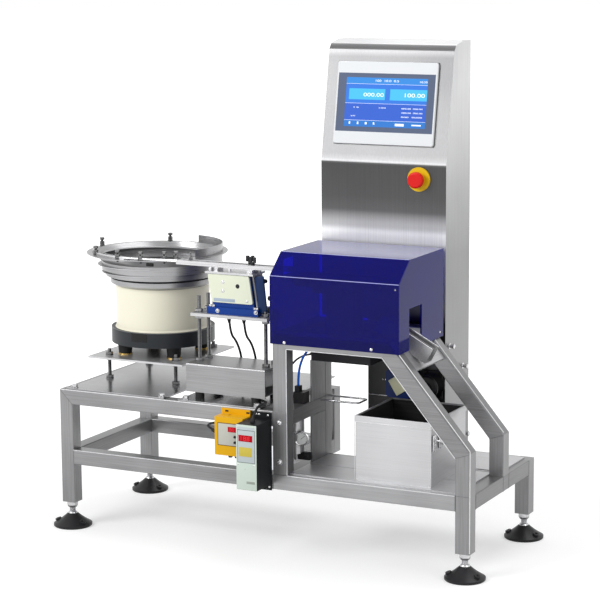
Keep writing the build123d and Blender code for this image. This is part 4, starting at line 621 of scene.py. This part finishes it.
# A bright rod along the channel's lower bend is a painted highlight.
line_piece("channel_bend_highlight", [((-0.2105, -0.1600, 0.4570), (0.0115, -0.1600, 0.4570))], 0.0008,
           steel("bend_highlight_steel", 0.75, 0.95, ALONG_X, 0.2))

# Leads. Two black feeder leads leave the drive plate, pass the deck and end in the controllers; a thin
# sensor lead joins the weigher base to its plug, and a blue air tube feeds the reject gate.


def lead(name, route, diameter, material):
    """Limp round lead on one smooth line through the route, which is given in millimetres."""
    curve = bpy.data.curves.new(name, "CURVE")
    curve.dimensions = "3D"
    curve.resolution_u = 12
    curve.bevel_depth = diameter / 2
    curve.bevel_resolution = 3
    curve.use_fill_caps = True
    line = curve.splines.new("NURBS")
    line.points.add(len(route) - 1)
    for point, place in zip(line.points, route):
        point.co = (*(v / 1000 for v in place), 1.0)
    line.order_u = 3
    line.use_endpoint_u = True
    curve.materials.append(material)
    piece = bpy.data.objects.new(name + "_lead", curve)
    bpy.context.scene.collection.objects.link(piece)
    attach(piece, "machine")
    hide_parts(name)


lead_black = moulded("lead_sheath_black", (0.016, 0.016, 0.018), 0.4, 0.3, 0.7)
lead("feeder_cable_left", ((-120, -98.5, 576), (-120, -95, 530), (-124, -50, 500), (-129, -14, 447), (-133, -6.5, 375),
                           (-136, -8.5, 325), (-141, -60.5, 300), (-144, -118.5, 304), (-142, -172, 311),
                           (-125, -208, 312), (-92, -214, 305)), 0.006, lead_black)
lead("feeder_cable_right", ((-78, -98.5, 576), (-78, -95, 530), (-82, -50, 500), (-88, -14, 447), (-92, -4, 373),
                            (-78, -66, 373), (-40, -112, 373), (8, -138, 373), (17, -185, 378), (20, -226, 378),
                            (20, -242, 345)), 0.006, lead_black)
lead("sensor_cable", ((87.5, -30, 482), (52, -30, 480), (16, -38, 445), (8, -52, 400), (24, -68, 380),
                      (53.5, -73.5, 381)), 0.005, lead_black)
tube_blue = moulded("air_tube_blue", (0.01, 0.12, 0.62), 0.25, 0.1, 0.85)
lead("air_tube", ((60.5, -73.5, 408), (60.5, -74.5, 440), (76.5, -79.5, 485), (105.5, -85.5, 515),
                  (140.5, -87.5, 529), (148.5, -55.5, 530)), 0.006, tube_blue)
glands = bmesh.new()
GLAND = ((0, 0), (0.0062, 0), (0.0062, 0.004), (0.0056, 0.0045), (0.0056, 0.009), (0.0044, 0.0125), (0.0034, 0.018),
         (0, 0.018))
for place, way, size in (((-0.120, -0.0985, 0.576), (0, 0.03, -1), 1.0), ((-0.078, -0.0985, 0.576), (0, 0.03, -1), 1.0),
                         ((-0.092, -0.214, 0.305), (-1, 0.1, 0.1), 1.0), ((0.020, -0.242, 0.345), (0, 0.25, 1), 1.0),
                         ((0.0875, -0.030, 0.482), (-1, 0, 0), 0.85), ((0.0535, -0.0735, 0.381), (-1, 0.1, 0), 0.85)):
    outline = [(r * size, z * size) for r, z in GLAND]
    turned_on(glands, facing(place, way), outline, 20)
make_piece("lead_strain_reliefs", glands, lead_black)
grommet = bmesh.new()
turned_on(grommet, Matrix.Translation((-0.133, -0.0065, 0.3635)),
          ((0.0058, 0), (0.0102, 0), (0.0108, 0.0015), (0.0078, 0.0018), (0.0078, 0.0052), (0.0108, 0.0056),
           (0.0105, 0.0072), (0.0058, 0.0074), (0.0058, 0)), 28)
make_piece("deck_grommet", grommet, rubber)

# Controllers. A yellow moulded amplitude controller and a taller black one, both screwed to the
# table rail by slotted flanges, with recessed front plates, red figures and turning knobs.
finish(moulded("yellow_plastic", (0.82, 0.44, 0.004), 0.32, 0.25, 0.9), "yellow_controller")
finish(moulded("controller_black", (0.003, 0.005, 0.006), 0.4, 0.35, 0.7), "tall_controller")
YELLOW_FACE, TALL_FACE = -0.2335, -0.2715
UPRIGHT = Matrix.Rotation(math.radians(90), 4, "X")
face_of = {y: Matrix.Translation((0, y, 0)) @ UPRIGHT for y in (YELLOW_FACE, TALL_FACE)}


def figures(mesh, digits, left, low, width, height, place):
    """Adds raised figures that fill a width and height, standing on a plane."""
    curve = bpy.data.curves.new("figures", "FONT")
    curve.body = digits
    curve.extrude = 0.02
    flat = bpy.data.meshes.new_from_object(bpy.data.objects.new("figures", curve))
    xs, ys = [v.co.x for v in flat.vertices], [v.co.y for v in flat.vertices]
    wide, tall = width / (max(xs) - min(xs)), height / (max(ys) - min(ys))
    flat.transform(place @ Matrix.Translation((left, low, 0.0)) @ Matrix.Diagonal((wide, tall, 0.006, 1.0))
                   @ Matrix.Translation((-min(xs), -min(ys), 0.02)))
    mesh.from_mesh(flat)


def lit(name, colour, strength=0.45):
    """Screen colour that shines a little by itself."""
    made = moulded(name, colour, 0.25, 0.0, 0.96, gloss=0.06)
    glowing = made.node_tree.nodes["Principled BSDF"]
    glowing.inputs["Emission Color"].default_value = (*colour, 1.0)
    glowing.inputs["Emission Strength"].default_value = strength
    return made


def face_parts(name, face, parts, material, round_by=0.0003):
    """Thin plates on a controller's face, each given by its corners and its thickness."""
    mesh = bmesh.new()
    for x0, z0, x1, z1, low, high in parts:
        block(mesh, (x0, z0, low), (x1, z1, high), round_by, face_of[face])
    return make_piece(name, mesh, material)


# The dark brownish plate that shows round the front plate is painted shade in the yellow controller's recess.
face_parts("yellow_recess_painted_shade", YELLOW_FACE, ((-0.0825, 0.2765, -0.0215, 0.3345, -0.0004, 0.0003),),
           moulded("recess_painted_shade", (0.20, 0.10, 0.01), 0.4, 0.1, 0.8))
face_parts("yellow_face_plate", YELLOW_FACE, ((-0.0805, 0.2785, -0.0235, 0.3325, 0.0002, 0.0010),),
           moulded("face_plate_grey", (0.56, 0.56, 0.50), 0.35, 0.1, 0.93))
display_red = lit("display_red", (0.36, 0.004, 0.012), 0.25)
face_parts("yellow_display", YELLOW_FACE, ((-0.0533, 0.3125, -0.0300, 0.3255, 0.0008, 0.0014),), display_red)
knobs = bmesh.new()
for z in (0.3015, 0.2876):
    turned_on(knobs, facing((-0.0335, YELLOW_FACE - 0.0010, z), (0, -1, 0)),
              ((0, 0), (0.0034, 0), (0.0034, 0.001), (0.0026, 0.0015), (0.0024, 0.0042), (0, 0.0042)), 20)
for x in (-0.040, -0.058):
    turned_on(knobs, facing((x, -0.2135, 0.2525), (0, 0, -1)),
              ((0, 0), (0.0062, 0), (0.0062, 0.004), (0.0048, 0.009), (0, 0.009)), 20)
for x, z in ((-0.0771, 0.3552), (-0.0181, 0.3552)):
    block(knobs, (x - 0.0045, z - 0.0022, -0.0002), (x + 0.0045, z + 0.0022, 0.0002), 0.00018,
          Matrix.Translation((0, -0.1945, 0)) @ UPRIGHT)
knob_black = moulded("knob_black", (0.012, 0.012, 0.012), 0.3, 0.2, 0.7)
make_piece("yellow_controller_knobs", knobs, knob_black)
block_piece("yellow_controller_catch", (-0.0850, -0.2110, 0.3478), (-0.0620, -0.2010, 0.3502), 0.0009,
            moulded("catch_yellow", (0.74, 0.40, 0.02), 0.3, 0.2, 0.9))
face_parts("tall_front_plate", TALL_FACE, ((-0.0097, 0.1825, 0.0457, 0.3447, 0.0, 0.0012),),
           moulded("front_plate_green", (0.62, 0.72, 0.64), 0.32, 0.1, 0.95))
face_parts("tall_label", TALL_FACE, ((-0.0062, 0.2505, 0.0418, 0.3395, 0.0010, 0.0015),),
           moulded("label_pale", (0.52, 0.58, 0.60), 0.35, 0.1, 0.94))
face_parts("tall_label_frame", TALL_FACE,
           ((-0.0062, 0.3310, 0.0418, 0.3322, 0.0012, 0.0017), (-0.0062, 0.2505, 0.0418, 0.2515, 0.0012, 0.0017),
            (-0.0062, 0.2505, -0.0054, 0.3322, 0.0012, 0.0017), (0.0410, 0.2505, 0.0418, 0.3322, 0.0012, 0.0017)),
           moulded("frame_line_grey", (0.10, 0.12, 0.13), 0.4, 0.1, 0.8), 0.0)
face_parts("tall_display", TALL_FACE, ((-0.0028, 0.3032, 0.0352, 0.3192, 0.0014, 0.0020),), display_red)
face_parts("tall_yellow_field", TALL_FACE, ((-0.0022, 0.2660, 0.0335, 0.2890, 0.0014, 0.0018),),
           moulded("field_yellow", (0.62, 0.50, 0.08), 0.4, 0.1, 0.92))
face_parts("tall_plain_strip", TALL_FACE, ((0.0180, 0.1985, 0.0410, 0.2045, 0.0010, 0.0014),),
           moulded("strip_grey", (0.34, 0.38, 0.33), 0.4, 0.1, 0.9))
shown_digits = bmesh.new()
figures(shown_digits, "188", 0.0035, 0.3055, 0.0245, 0.0112, face_of[TALL_FACE] @ Matrix.Translation((0, 0, 0.0019)))
figures(shown_digits, "80", -0.0490, 0.3145, 0.0140, 0.0088, face_of[YELLOW_FACE] @ Matrix.Translation((0, 0, 0.0013)))
make_piece("controller_figures", shown_digits, lit("figure_red", (0.62, 0.03, 0.04), 0.5))
plate_screws = bmesh.new()
for x, z in ((-0.0062, 0.3420), (0.0395, 0.3408), (-0.0045, 0.2455), (0.0388, 0.2455), (0.0145, 0.2345)):
    button_bolt(plate_screws, (x, TALL_FACE - 0.0012, z), (0, -1, 0), 0.0019 if z > 0.24 else 0.0012, 0.0008)
for x, z in ((0.0052, 0.3552), (0.0130, 0.3550), (0.0372, 0.3545), (0.0397, 0.1745), (-0.0035, 0.1745)):
    button_bolt(plate_screws, (x, -0.1945, z), (0, -1, 0), 0.0030, 0.0014, False)
make_piece("controller_screws", plate_screws, bright_bolt)

# Hood. Deep blue acrylic sheet, 4 mm, bent twice and glued at its ends, held on the top rails by
# pan-head screws.
hood_blue = moulded("blue_acrylic", (0.0003, 0.0006, 0.34), 0.0, 0.01, 0.8, gloss=0.5)
hood_shader = hood_blue.node_tree.nodes["Principled BSDF"]
hood_shader.inputs["IOR"].default_value = 1.19
hood_shader.inputs["Transmission Weight"].default_value = 0.72
finish(hood_blue, "hood")
HOOD_LEFT, HOOD_RIGHT, HOOD_FRONT, HOOD_REAR = 0.0455, 0.389, -0.1955, 0.0725
HOOD_FOOT, HOOD_CREASE, HOOD_TOP, HOOD_BROW = 0.535, 0.702, 0.754, -0.1335
# Pale blue rods along the crease and the top bend are painted highlights.
BEND_R = 0.0009
bend_highlight_runs = [((HOOD_LEFT + 0.001, y, z), (HOOD_RIGHT - 0.001, y, z))
             for y, z in ((HOOD_FRONT + 0.0007, HOOD_CREASE), (HOOD_BROW, HOOD_TOP - BEND_R))]
line_piece("hood_bend_highlights", bend_highlight_runs, BEND_R, moulded("bend_highlight", (0.42, 0.44, 0.80), 0.1, 0.0, 0.9),
           8)
glued_runs, GLUE_R = [], 0.0008
for x in (HOOD_LEFT + GLUE_R, HOOD_RIGHT - GLUE_R):
    corners = ((x, HOOD_FRONT + GLUE_R, HOOD_FOOT), (x, HOOD_FRONT + GLUE_R, HOOD_CREASE),
               (x, HOOD_BROW, HOOD_TOP - GLUE_R), (x, HOOD_REAR, HOOD_TOP - GLUE_R))
    glued_runs += zip(corners, corners[1:])
line_piece("hood_glued_edges", glued_runs, GLUE_R, moulded("glued_edge", (0.004, 0.006, 0.20), 0.15, 0.0, 0.8))
hood_screws = bmesh.new()
for x, z in ((0.084, 0.5400), (0.3164, 0.5420), (0.379, 0.690)):
    button_bolt(hood_screws, (x, HOOD_FRONT, z), (0, -1, 0), 0.0042 if z < 0.6 else 0.0022, 0.0022)
for x, way in ((HOOD_RIGHT, 1), (HOOD_LEFT, -1)):
    button_bolt(hood_screws, (x, 0.052, 0.5475), (way, 0, 0), 0.0028, 0.0018)
make_piece("hood_screws", hood_screws, bright_bolt)

# Weigher. Black painted base block under the hood, with the short weighing belt on its post above
# it; the block is bolted to the rails and the belt lifts off for cleaning.
finish(moulded("weigher_black_paint", (0.025, 0.025, 0.028), 0.35, 0.2, 0.7), "weigher_base")
finish(moulded("belt_black", (0.02, 0.02, 0.02), 0.5, 0.4, 0.7), "weighing_belt")

# Reject chute, bridge plate and bin. Folded stainless sheet: the chute rests in the notch of the
# plate between the sloping rails and empties into the box that stands on the base plates.
finish(steel("chute_steel", 0.3, 0.5, (300, 300, 300), 0.25), "reject_chute")
finish(steel("bridge_plate_steel", 0.36, 0.56, ALONG_Y, 0.3), "bridge_plate")
finish(steel("bin_steel", 0.46, 0.58, (5, 5, 900), 0.27), "reject_bin")
# A very dark open box and thin rod inside the bin are painted shade on its inner walls.
bin_shade_lining = bmesh.new()
BIN_LOW, BIN_HIGH = Vector((0.2600, -0.1565, 0.2130)), Vector((0.4530, 0.0585, 0.3655))
bmesh.ops.create_cube(bin_shade_lining, size=1.0, matrix=Matrix.Translation((BIN_LOW + BIN_HIGH) / 2)
                      @ Matrix.Diagonal((*(BIN_HIGH - BIN_LOW), 1.0)))
open_top = [f for f in bin_shade_lining.faces if f.calc_center_median().z > 0.36]
bmesh.ops.delete(bin_shade_lining, geom=open_top, context="FACES_ONLY")
bmesh.ops.solidify(bin_shade_lining, geom=bin_shade_lining.faces[:], thickness=0.0004)
rod(bin_shade_lining, (0.3560, 0.0575, 0.2140), (0.3560, 0.0575, 0.3650), 0.0007, 6)
bin_painted_shade_steel = steel("bin_painted_shade_steel", 0.035, 0.075, (6, 6, 500), 0.3, 0.7)
make_piece("bin_inside_painted_shade", bin_shade_lining, bin_painted_shade_steel)
# Bright rods along the bin's rim and front corners are painted highlights.
bin_highlight_runs = (((0.2560, -0.1607, 0.3688), (0.4568, -0.1607, 0.3688)),
            ((0.2570, -0.1606, 0.3540), (0.4560, -0.1606, 0.3540)),
            ((0.2563, -0.1604, 0.2110), (0.2563, -0.1604, 0.3680)),
            ((0.4567, -0.1604, 0.2110), (0.4567, -0.1604, 0.3680)))
line_piece("bin_painted_highlights", bin_highlight_runs, 0.0008, steel("bin_highlight_steel", 0.66, 0.88, (90, 90, 90), 0.25, 0.5))
bin_bracket = bmesh.new()
for y in (-0.1430, -0.1040):
    block(bin_bracket, (0.4572, y - 0.0085, 0.2960), (0.4592, y + 0.0085, 0.3360), 0.0006)
    for z in (0.3010, 0.3310):
        button_bolt(bin_bracket, (0.4592, y, z), (1, 0, 0), 0.0028, 0.0016)
make_piece("bin_handle_brackets", bin_bracket, bright_bolt)

CHUTE_ANGLE, CHUTE_Y = math.radians(28.2), -0.0985
chute_end = (Matrix.Translation((0.4416, CHUTE_Y, 0.5385)) @ Matrix.Rotation(CHUTE_ANGLE, 4, "Y")
             @ Matrix.Translation((0, 0, -0.041)))
chute_liner, chute_gap_shade, chute_highlight_runs = bmesh.new(), bmesh.new(), []
for side in (-1, 1):
    wall, gap, rim = side * 0.0115, side * 0.0147, side * 0.018
    block(chute_liner, (-0.146, wall - 0.0008, 0.002), (-0.0005, wall + 0.0008, 0.0425), 0.0006, chute_end)
    block(chute_gap_shade, (-0.146, gap - 0.0021, 0.0025), (-0.002, gap + 0.0021, 0.0370), 0.0004, chute_end)
    chute_highlight_runs.append((chute_end @ Vector((-0.149, rim, 0.0408)), chute_end @ Vector((-0.0005, rim, 0.0408))))
block(chute_liner, (-0.146, -0.0115, 0.0022), (-0.0005, 0.0115, 0.0036), 0.0004, chute_end)
make_piece("chute_liner", chute_liner, steel("liner_steel", 0.20, 0.34, (300, 300, 300), 0.25))
# Bright rods along the chute's rims are painted highlights.
line_piece("chute_rim_highlights", chute_highlight_runs, 0.0010, steel("chute_highlight_steel", 0.66, 0.86, (90, 90, 90), 0.25, 0.5))
# The dark strips beside the chute's inner walls are painted shade in the gaps there.
gap_painted_shade = moulded("gap_painted_shade_strip", (0.012, 0.013, 0.014), 0.5, 0.1, 0.7)
make_piece("chute_side_painted_shade", chute_gap_shade, gap_painted_shade)
finish(bright_bolt, "bin_handle", "rod_loop")

# Tower. Cabinet folded from stainless sheet on a narrower column, welded and ground, with an upright
# grain. Its colour carries painted light and shade: bands by height on the front, with painted highlights
# at the bends, and a painted shade ramp on the side faces, darker low and lighter high.
tower_steel = steel("tower_steel", 0.78, 1.0, (420, 420, 4), 0.27, metallic=0.6, bump=0.06)
parts, join = tower_steel.node_tree.nodes, tower_steel.node_tree.links
# Painted light and shade by height and by facing, multiplied into the steel's colour below.
cabinet_light_group, given, out = new_group("cabinet_painted_light", (("Height", "Float"), ("Front", "Float")), (("Painted Light", "Color"),))
bands, choose = cabinet_light_group.nodes.new("ShaderNodeValToRGB"), cabinet_light_group.nodes.new("ShaderNodeMix")
choose.data_type = "RGBA"
CABINET_FOOT, CABINET_TOP = 0.20, 1.26
painted_light_stops = ((0.560, 0.03), (0.570, 0.10), (0.755, 0.80), (0.782, 1.0), (0.794, 0.55), (0.806, 0.46), (0.835, 0.11),
         (0.870, 0.08), (0.951, 0.065), (0.9535, 0.08), (0.9548, 0.62), (0.959, 0.36), (0.975, 0.27), (1.215, 0.19),
         (1.229, 0.30), (1.236, 0.12), (1.246, 0.27))
while len(bands.color_ramp.elements) < len(painted_light_stops):
    bands.color_ramp.elements.new(0.5)
for stop, (z, light_level) in zip(bands.color_ramp.elements, painted_light_stops):
    stop.position = (z - CABINET_FOOT) / (CABINET_TOP - CABINET_FOOT)
for stop, (z, light_level) in zip(bands.color_ramp.elements, painted_light_stops):
    stop.color = grey(light_level, 1.01)
cabinet_light_group.links.new(given.outputs["Height"], bands.inputs["Fac"])
cabinet_light_group.links.new(given.outputs["Front"], choose.inputs["Factor"])
side_bands = cabinet_light_group.nodes.new("ShaderNodeValToRGB")
for stop, (place, light_level) in zip(side_bands.color_ramp.elements, ((0.50, 0.27), (0.90, 0.74))):
    stop.position, stop.color = place, grey(light_level)
cabinet_light_group.links.new(given.outputs["Height"], side_bands.inputs["Fac"])
cabinet_light_group.links.new(side_bands.outputs["Color"], choose.inputs["A"])
cabinet_light_group.links.new(bands.outputs["Color"], choose.inputs["B"])
cabinet_light_group.links.new(choose.outputs["Result"], out.inputs["Painted Light"])
here = parts.new("ShaderNodeTexCoord")
place_z, way = parts.new("ShaderNodeSeparateXYZ"), parts.new("ShaderNodeSeparateXYZ")
join.new(here.outputs["Object"], place_z.inputs[0])
join.new(here.outputs["Normal"], way.inputs[0])
share, frontal = parts.new("ShaderNodeMapRange"), parts.new("ShaderNodeMapRange")
share.inputs["From Min"].default_value, share.inputs["From Max"].default_value = CABINET_FOOT, CABINET_TOP
frontal.inputs["From Min"].default_value, frontal.inputs["From Max"].default_value = -0.4, -0.6
join.new(place_z.outputs["Z"], share.inputs["Value"])
join.new(way.outputs["Y"], frontal.inputs["Value"])
painted_light_node, painted_light_mix = parts.new("ShaderNodeGroup"), parts.new("ShaderNodeMix")
painted_light_node.node_tree = cabinet_light_group
join.new(share.outputs["Result"], painted_light_node.inputs["Height"])
join.new(frontal.outputs["Result"], painted_light_node.inputs["Front"])
painted_light_mix.data_type = "RGBA"
painted_light_mix.blend_type = "MULTIPLY"
painted_light_mix.inputs["Factor"].default_value = 1.0
shader = parts["Principled BSDF"]
join.new(shader.inputs["Base Color"].links[0].from_socket, painted_light_mix.inputs["A"])
join.new(painted_light_node.outputs["Painted Light"], painted_light_mix.inputs["B"])
join.new(painted_light_mix.outputs["Result"], shader.inputs["Base Color"])
finish(tower_steel, "tower_cabinet", "tower_column")

BACK = 0.2405
rear_gaps, rear_parts = bmesh.new(), bmesh.new()
DOOR_LEFT, DOOR_RIGHT, DOOR_LOW, DOOR_HIGH = 0.064, 0.374, 0.600, 1.215
corners = ((DOOR_LEFT, DOOR_LOW), (DOOR_RIGHT, DOOR_LOW), (DOOR_RIGHT, DOOR_HIGH), (DOOR_LEFT, DOOR_HIGH))
for start, end in zip(corners, corners[1:] + corners[:1]):
    rod(rear_gaps, (start[0], BACK, start[1]), (end[0], BACK, end[1]), 0.0012, 6)
for row in range(6):
    for side in (0.105, 0.245):
        z = 0.655 + row * 0.016
        block(rear_gaps, (side, BACK - 0.0005, z), (side + 0.090, BACK + 0.0008, z + 0.0045), 0.0006)
for row in range(5):
    rise = row * 0.014
    block(rear_gaps, (0.225, BACK - 0.0005, 0.445 + rise), (0.340, BACK + 0.0008, 0.4495 + rise), 0.0006)
gap_black = moulded("gap_black", (0.01, 0.01, 0.011), 0.6, 0.1, 0.7)
make_piece("rear_door_gaps_and_vents", rear_gaps, gap_black)
for z in (0.690, 0.905, 1.120):
    x = DOOR_LEFT - 0.006
    rod(rear_parts, (x, BACK + 0.0022, z - 0.020), (x, BACK + 0.0022, z + 0.020), 0.0035, 16)
for z in (0.760, 1.060):
    turned_on(rear_parts, facing((DOOR_RIGHT - 0.022, BACK, z), (0, 1, 0)),
              ((0, 0), (0.0125, 0), (0.0125, 0.0022), (0.0110, 0.0032), (0.0060, 0.0032), (0.0060, 0.0022),
               (0, 0.0022)), 28)
for x in (0.186, 0.381):
    for z in (0.225, 0.540):
        button_bolt(rear_parts, (x, BACK, z), (0, 1, 0), 0.0038, 0.002)
make_piece("rear_door_hinges_and_locks", rear_parts, bright_bolt)

# Operator panel. Light grey moulded bezel round a glass touch screen on the cabinet's sloping face,
# with thin dark strips round and under it as a painted shadow. The screen shows plain fields and generic figures.
finish(moulded("bezel_grey", (0.78, 0.80, 0.82), 0.35, 0.15, 0.96), "hmi_bezel")
finish(moulded("screen_slate", (0.11, 0.14, 0.22), 0.2, 0.0, 0.95, gloss=0.06), "hmi_screen")
PANEL_LEAN = math.radians(10)
GLASS_OFF = 0.0075
panel = (Matrix.Translation((0.2165, 0.0865, 0.9545)) @ Matrix.Rotation(math.radians(90) - PANEL_LEAN, 4, "X")
         @ Matrix.Translation((0, 0, GLASS_OFF)))
screen_parts = {
    "screen_field": ("lit_blue", (0.035, 0.15, 0.55), ((-0.109, 0.0885, 0.1115, 0.211, 0.0),)),
    "screen_header": ("lit_header_blue", (0.035, 0.20, 0.55), ((-0.109, 0.1955, 0.1115, 0.211, 0.0001),)),
    "screen_boxes": ("lit_cyan", (0.06, 0.40, 0.72), ((-0.1, 0.156, -0.0015, 0.1832, 0.0001),
                                                      (0.012, 0.1558, 0.1115, 0.1835, 0.0001))),
    "screen_lower": ("lit_violet_blue", (0.035, 0.10, 0.46), ((-0.109, 0.1045, 0.1115, 0.1463, 0.0001),)),
    "screen_bar": ("lit_dark_blue", (0.03, 0.15, 0.46), ((-0.109, 0.0885, 0.1115, 0.1038, 0.0001),)),
    "screen_rules": ("lit_white", (0.80, 0.86, 0.92), (
        (-0.109, 0.1463, 0.1115, 0.1469, 0.0002), (-0.109, 0.1040, 0.1115, 0.1046, 0.0002),
        (-0.109, 0.1948, 0.1115, 0.1954, 0.0002), (0.0306, 0.0925, 0.0545, 0.0985, 0.0002),
        (0.0755, 0.0942, 0.1005, 0.0975, 0.0002), (-0.0955, 0.0945, -0.0915, 0.1005, 0.0002),
        (-0.0735, 0.0945, -0.0685, 0.0965, 0.0002), (-0.0730, 0.0972, -0.0690, 0.1005, 0.0002),
        (-0.0511, 0.0945, -0.0461, 0.1000, 0.0002), (-0.0293, 0.0945, -0.0243, 0.0957, 0.0002),
        (-0.0293, 0.0962, -0.0255, 0.1000, 0.0002))),
}
for piece_name, (colour_name, colour, fields) in screen_parts.items():
    shown = bmesh.new()
    for x0, y0, x1, y1, up in fields:
        block(shown, (x0, y0, up), (x1, y1, up + 0.0001), place=panel)
    if piece_name == "screen_rules":
        for digits, x, y, w, h in (
                ("000.00", -0.0601, 0.164, 0.055, 0.009), ("100.00", 0.0521, 0.1645, 0.0536, 0.0095),
                ("100  10.0  0.5", -0.0293, 0.2010, 0.0628, 0.0053), ("10:30", 0.0905, 0.2005, 0.0198, 0.0045),
                ("12", -0.0846, 0.135, 0.0143, 0.0028), ("100", -0.0155, 0.135, 0.0183, 0.0028),
                ("20", -0.0921, 0.1136, 0.0128, 0.0026), ("000.00  000.00", 0.0454, 0.1345, 0.0564, 0.0033),
                ("000.00  000.00", 0.0462, 0.1240, 0.0565, 0.0033), ("000  0000", 0.0456, 0.1137, 0.0565, 0.0031)):
            figures(shown, digits, x, y, w, h, panel @ Matrix.Translation((0, 0, 0.0002)))
    make_piece(piece_name, shown, lit(colour_name, colour))
# Thin dark strips round and under the bezel are a painted shadow.
bezel_shadow_strips = bmesh.new()
block(bezel_shadow_strips, (-0.136, 0.0445, -0.0076), (0.136, 0.0452, -0.0072), place=panel)
for x0, y0, x1, y1 in ((-0.1362, 0.0442, 0.1362, 0.0455), (0.1355, 0.0445, 0.1366, 0.2515),
                       (-0.1366, 0.0445, -0.1355, 0.2515), (-0.1362, 0.2505, 0.1362, 0.2518)):
    block(bezel_shadow_strips, (x0, y0, -0.0076), (x1, y1, -0.0069), place=panel)
bezel_shadow_paint = moulded("bezel_painted_shadow_black", (0.02, 0.02, 0.022), 0.6, 0.1, 0.8)
make_piece("bezel_painted_shadow", bezel_shadow_strips, bezel_shadow_paint)

# Emergency stop. Yellow moulded collar screwed through the cabinet's front, and a red mushroom
# button that slides 4 mm into it when it is pressed.
finish(moulded("stop_yellow", (0.85, 0.55, 0.01), 0.3, 0.15, 0.92), "stop_collar")
finish(moulded("stop_red", (0.78, 0.012, 0.01), 0.25, 0.12, 0.9), "stop_button")

# Behind and under the weigher: the reject gate's painted drive and ribbed black motor, the folded side
# sheets, the air regulator with its gauge, and a plug, all bolted to the frame or the column.
finish(moulded("drive_blue_paint", (0.001, 0.018, 0.12), 0.3, 0.25, 0.7), "reject_drive")
gate_lean = Matrix.Translation((0.2860, 0.0225, 0.4090)) @ Matrix.Rotation(math.radians(-32), 4, "Y")
block_piece("reject_drive_plate", (-0.014, -0.002, -0.022), (0.014, 0.002, 0.022), 0.0018,
            moulded("gate_plate_cream", (0.72, 0.72, 0.50), 0.3, 0.1, 0.94), gate_lean)
motor = bmesh.new()
RIB_R, GROOVE_R = 0.030, 0.0275
outline = [(0, 0), (RIB_R, 0)]
for rib in range(7):
    outline += [(r, rise + rib * 0.006) for r, rise in ((RIB_R, 0.004), (GROOVE_R, 0.005), (GROOVE_R, 0.009),
                                                        (RIB_R, 0.010))]
outline += [(RIB_R, 0.048), (0.026, 0.052), (0.014, 0.053), (0.013, 0.060), (0.006, 0.060), (0.0055, 0.066), (0, 0.066)]
turned_on(motor, facing((0.3595, 0.0865, 0.4080), (0, -1, 0)), outline, 36)
block(motor, (0.335, 0.0800, 0.3720), (0.384, 0.0865, 0.4430), 0.0015)
for x, z in ((0.340, 0.377), (0.379, 0.377), (0.340, 0.438), (0.379, 0.438)):
    hex_bolt(motor, (x, 0.0800, z), (0, -1, 0), 0.0065, 0.004)
motor_black = moulded("motor_black", (0.012, 0.012, 0.013), 0.35, 0.2, 0.6, metallic=0.3)
make_piece("gate_motor", motor, motor_black)
column_marks = bmesh.new()
rod(column_marks, (0.1790, 0.0863, 0.3660), (0.2540, 0.0863, 0.3660), 0.0010, 6)
for x in (0.2190, 0.2265):
    button_bolt(column_marks, (x, 0.0865, 0.4075), (0, -1, 0), 0.0026, 0.0015)
for y, z in ((0.1127, 0.5020), (0.1996, 0.4359), (0.2120, 0.2579)):
    turned_on(column_marks, facing((0.3890, y, z), (1, 0, 0)),
              ((0, 0), (0.0075, 0), (0.0075, 0.0015), (0.0045, 0.002), (0.0045, 0.009), (0.0065, 0.0100),
               (0.0065, 0.0135), (0.0050, 0.0145), (0, 0.0145)), 24)
make_piece("column_knobs", column_marks, bright_bolt)
gauge = bmesh.new()
gauge_place = facing((0.0900, -0.1130, 0.2850), (0.25, -1, 0.05))
turned_on(gauge, gauge_place, ((0, 0), (0.0175, 0), (0.0185, 0.003), (0.0185, 0.008), (0.0165, 0.0095),
                               (0.0150, 0.0085), (0.0145, 0.0070), (0, 0.0070)), 40)
make_piece("regulator_gauge", gauge, bright_bolt)
gauge_face = bmesh.new()
turned_on(gauge_face, gauge_place @ Matrix.Translation((0, 0, 0.0070)), disc(0.0144, 0.0003), 40)
make_piece("gauge_dial", gauge_face, moulded("dial_white", (0.75, 0.76, 0.76), 0.2, 0.0, 0.95))
needle = bmesh.new()
block(needle, (-0.0005, -0.003, 0.0073), (0.0005, 0.011, 0.0078), 0.0,
      gauge_place @ Matrix.Rotation(math.radians(-50), 4, "Z"))
for mark in range(9):
    block(needle, (-0.0003, 0.0118, 0.0073), (0.0003, 0.0138, 0.0077), 0.0,
          gauge_place @ Matrix.Rotation(math.radians(-120 + 30 * mark), 4, "Z"))
block(needle, (0.0700, -0.1105, 0.2290), (0.1080, -0.0915, 0.2470), 0.0012)
for x in (0.0780, 0.0890, 0.1000):
    turned_on(needle, facing((x, -0.1105, 0.2380), (0, -1, 0)),
              ((0, 0), (0.0032, 0), (0.0026, 0.0012), (0, 0.0012)), 16)
bracket_black = moulded("bracket_black", (0.012, 0.012, 0.013), 0.4, 0.2, 0.7)
make_piece("gauge_needle_and_bracket", needle, bracket_black)
finish(steel("side_sheet_steel", 0.2, 0.34, (300, 300, 20), 0.3), "side_sheets")
finish(steel("regulator_steel", 0.3, 0.6, (200, 200, 40), 0.25), "air_regulator")
finish(moulded("plug_black", (0.015, 0.015, 0.016), 0.4, 0.3, 0.7), "plug_box")

low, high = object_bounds()
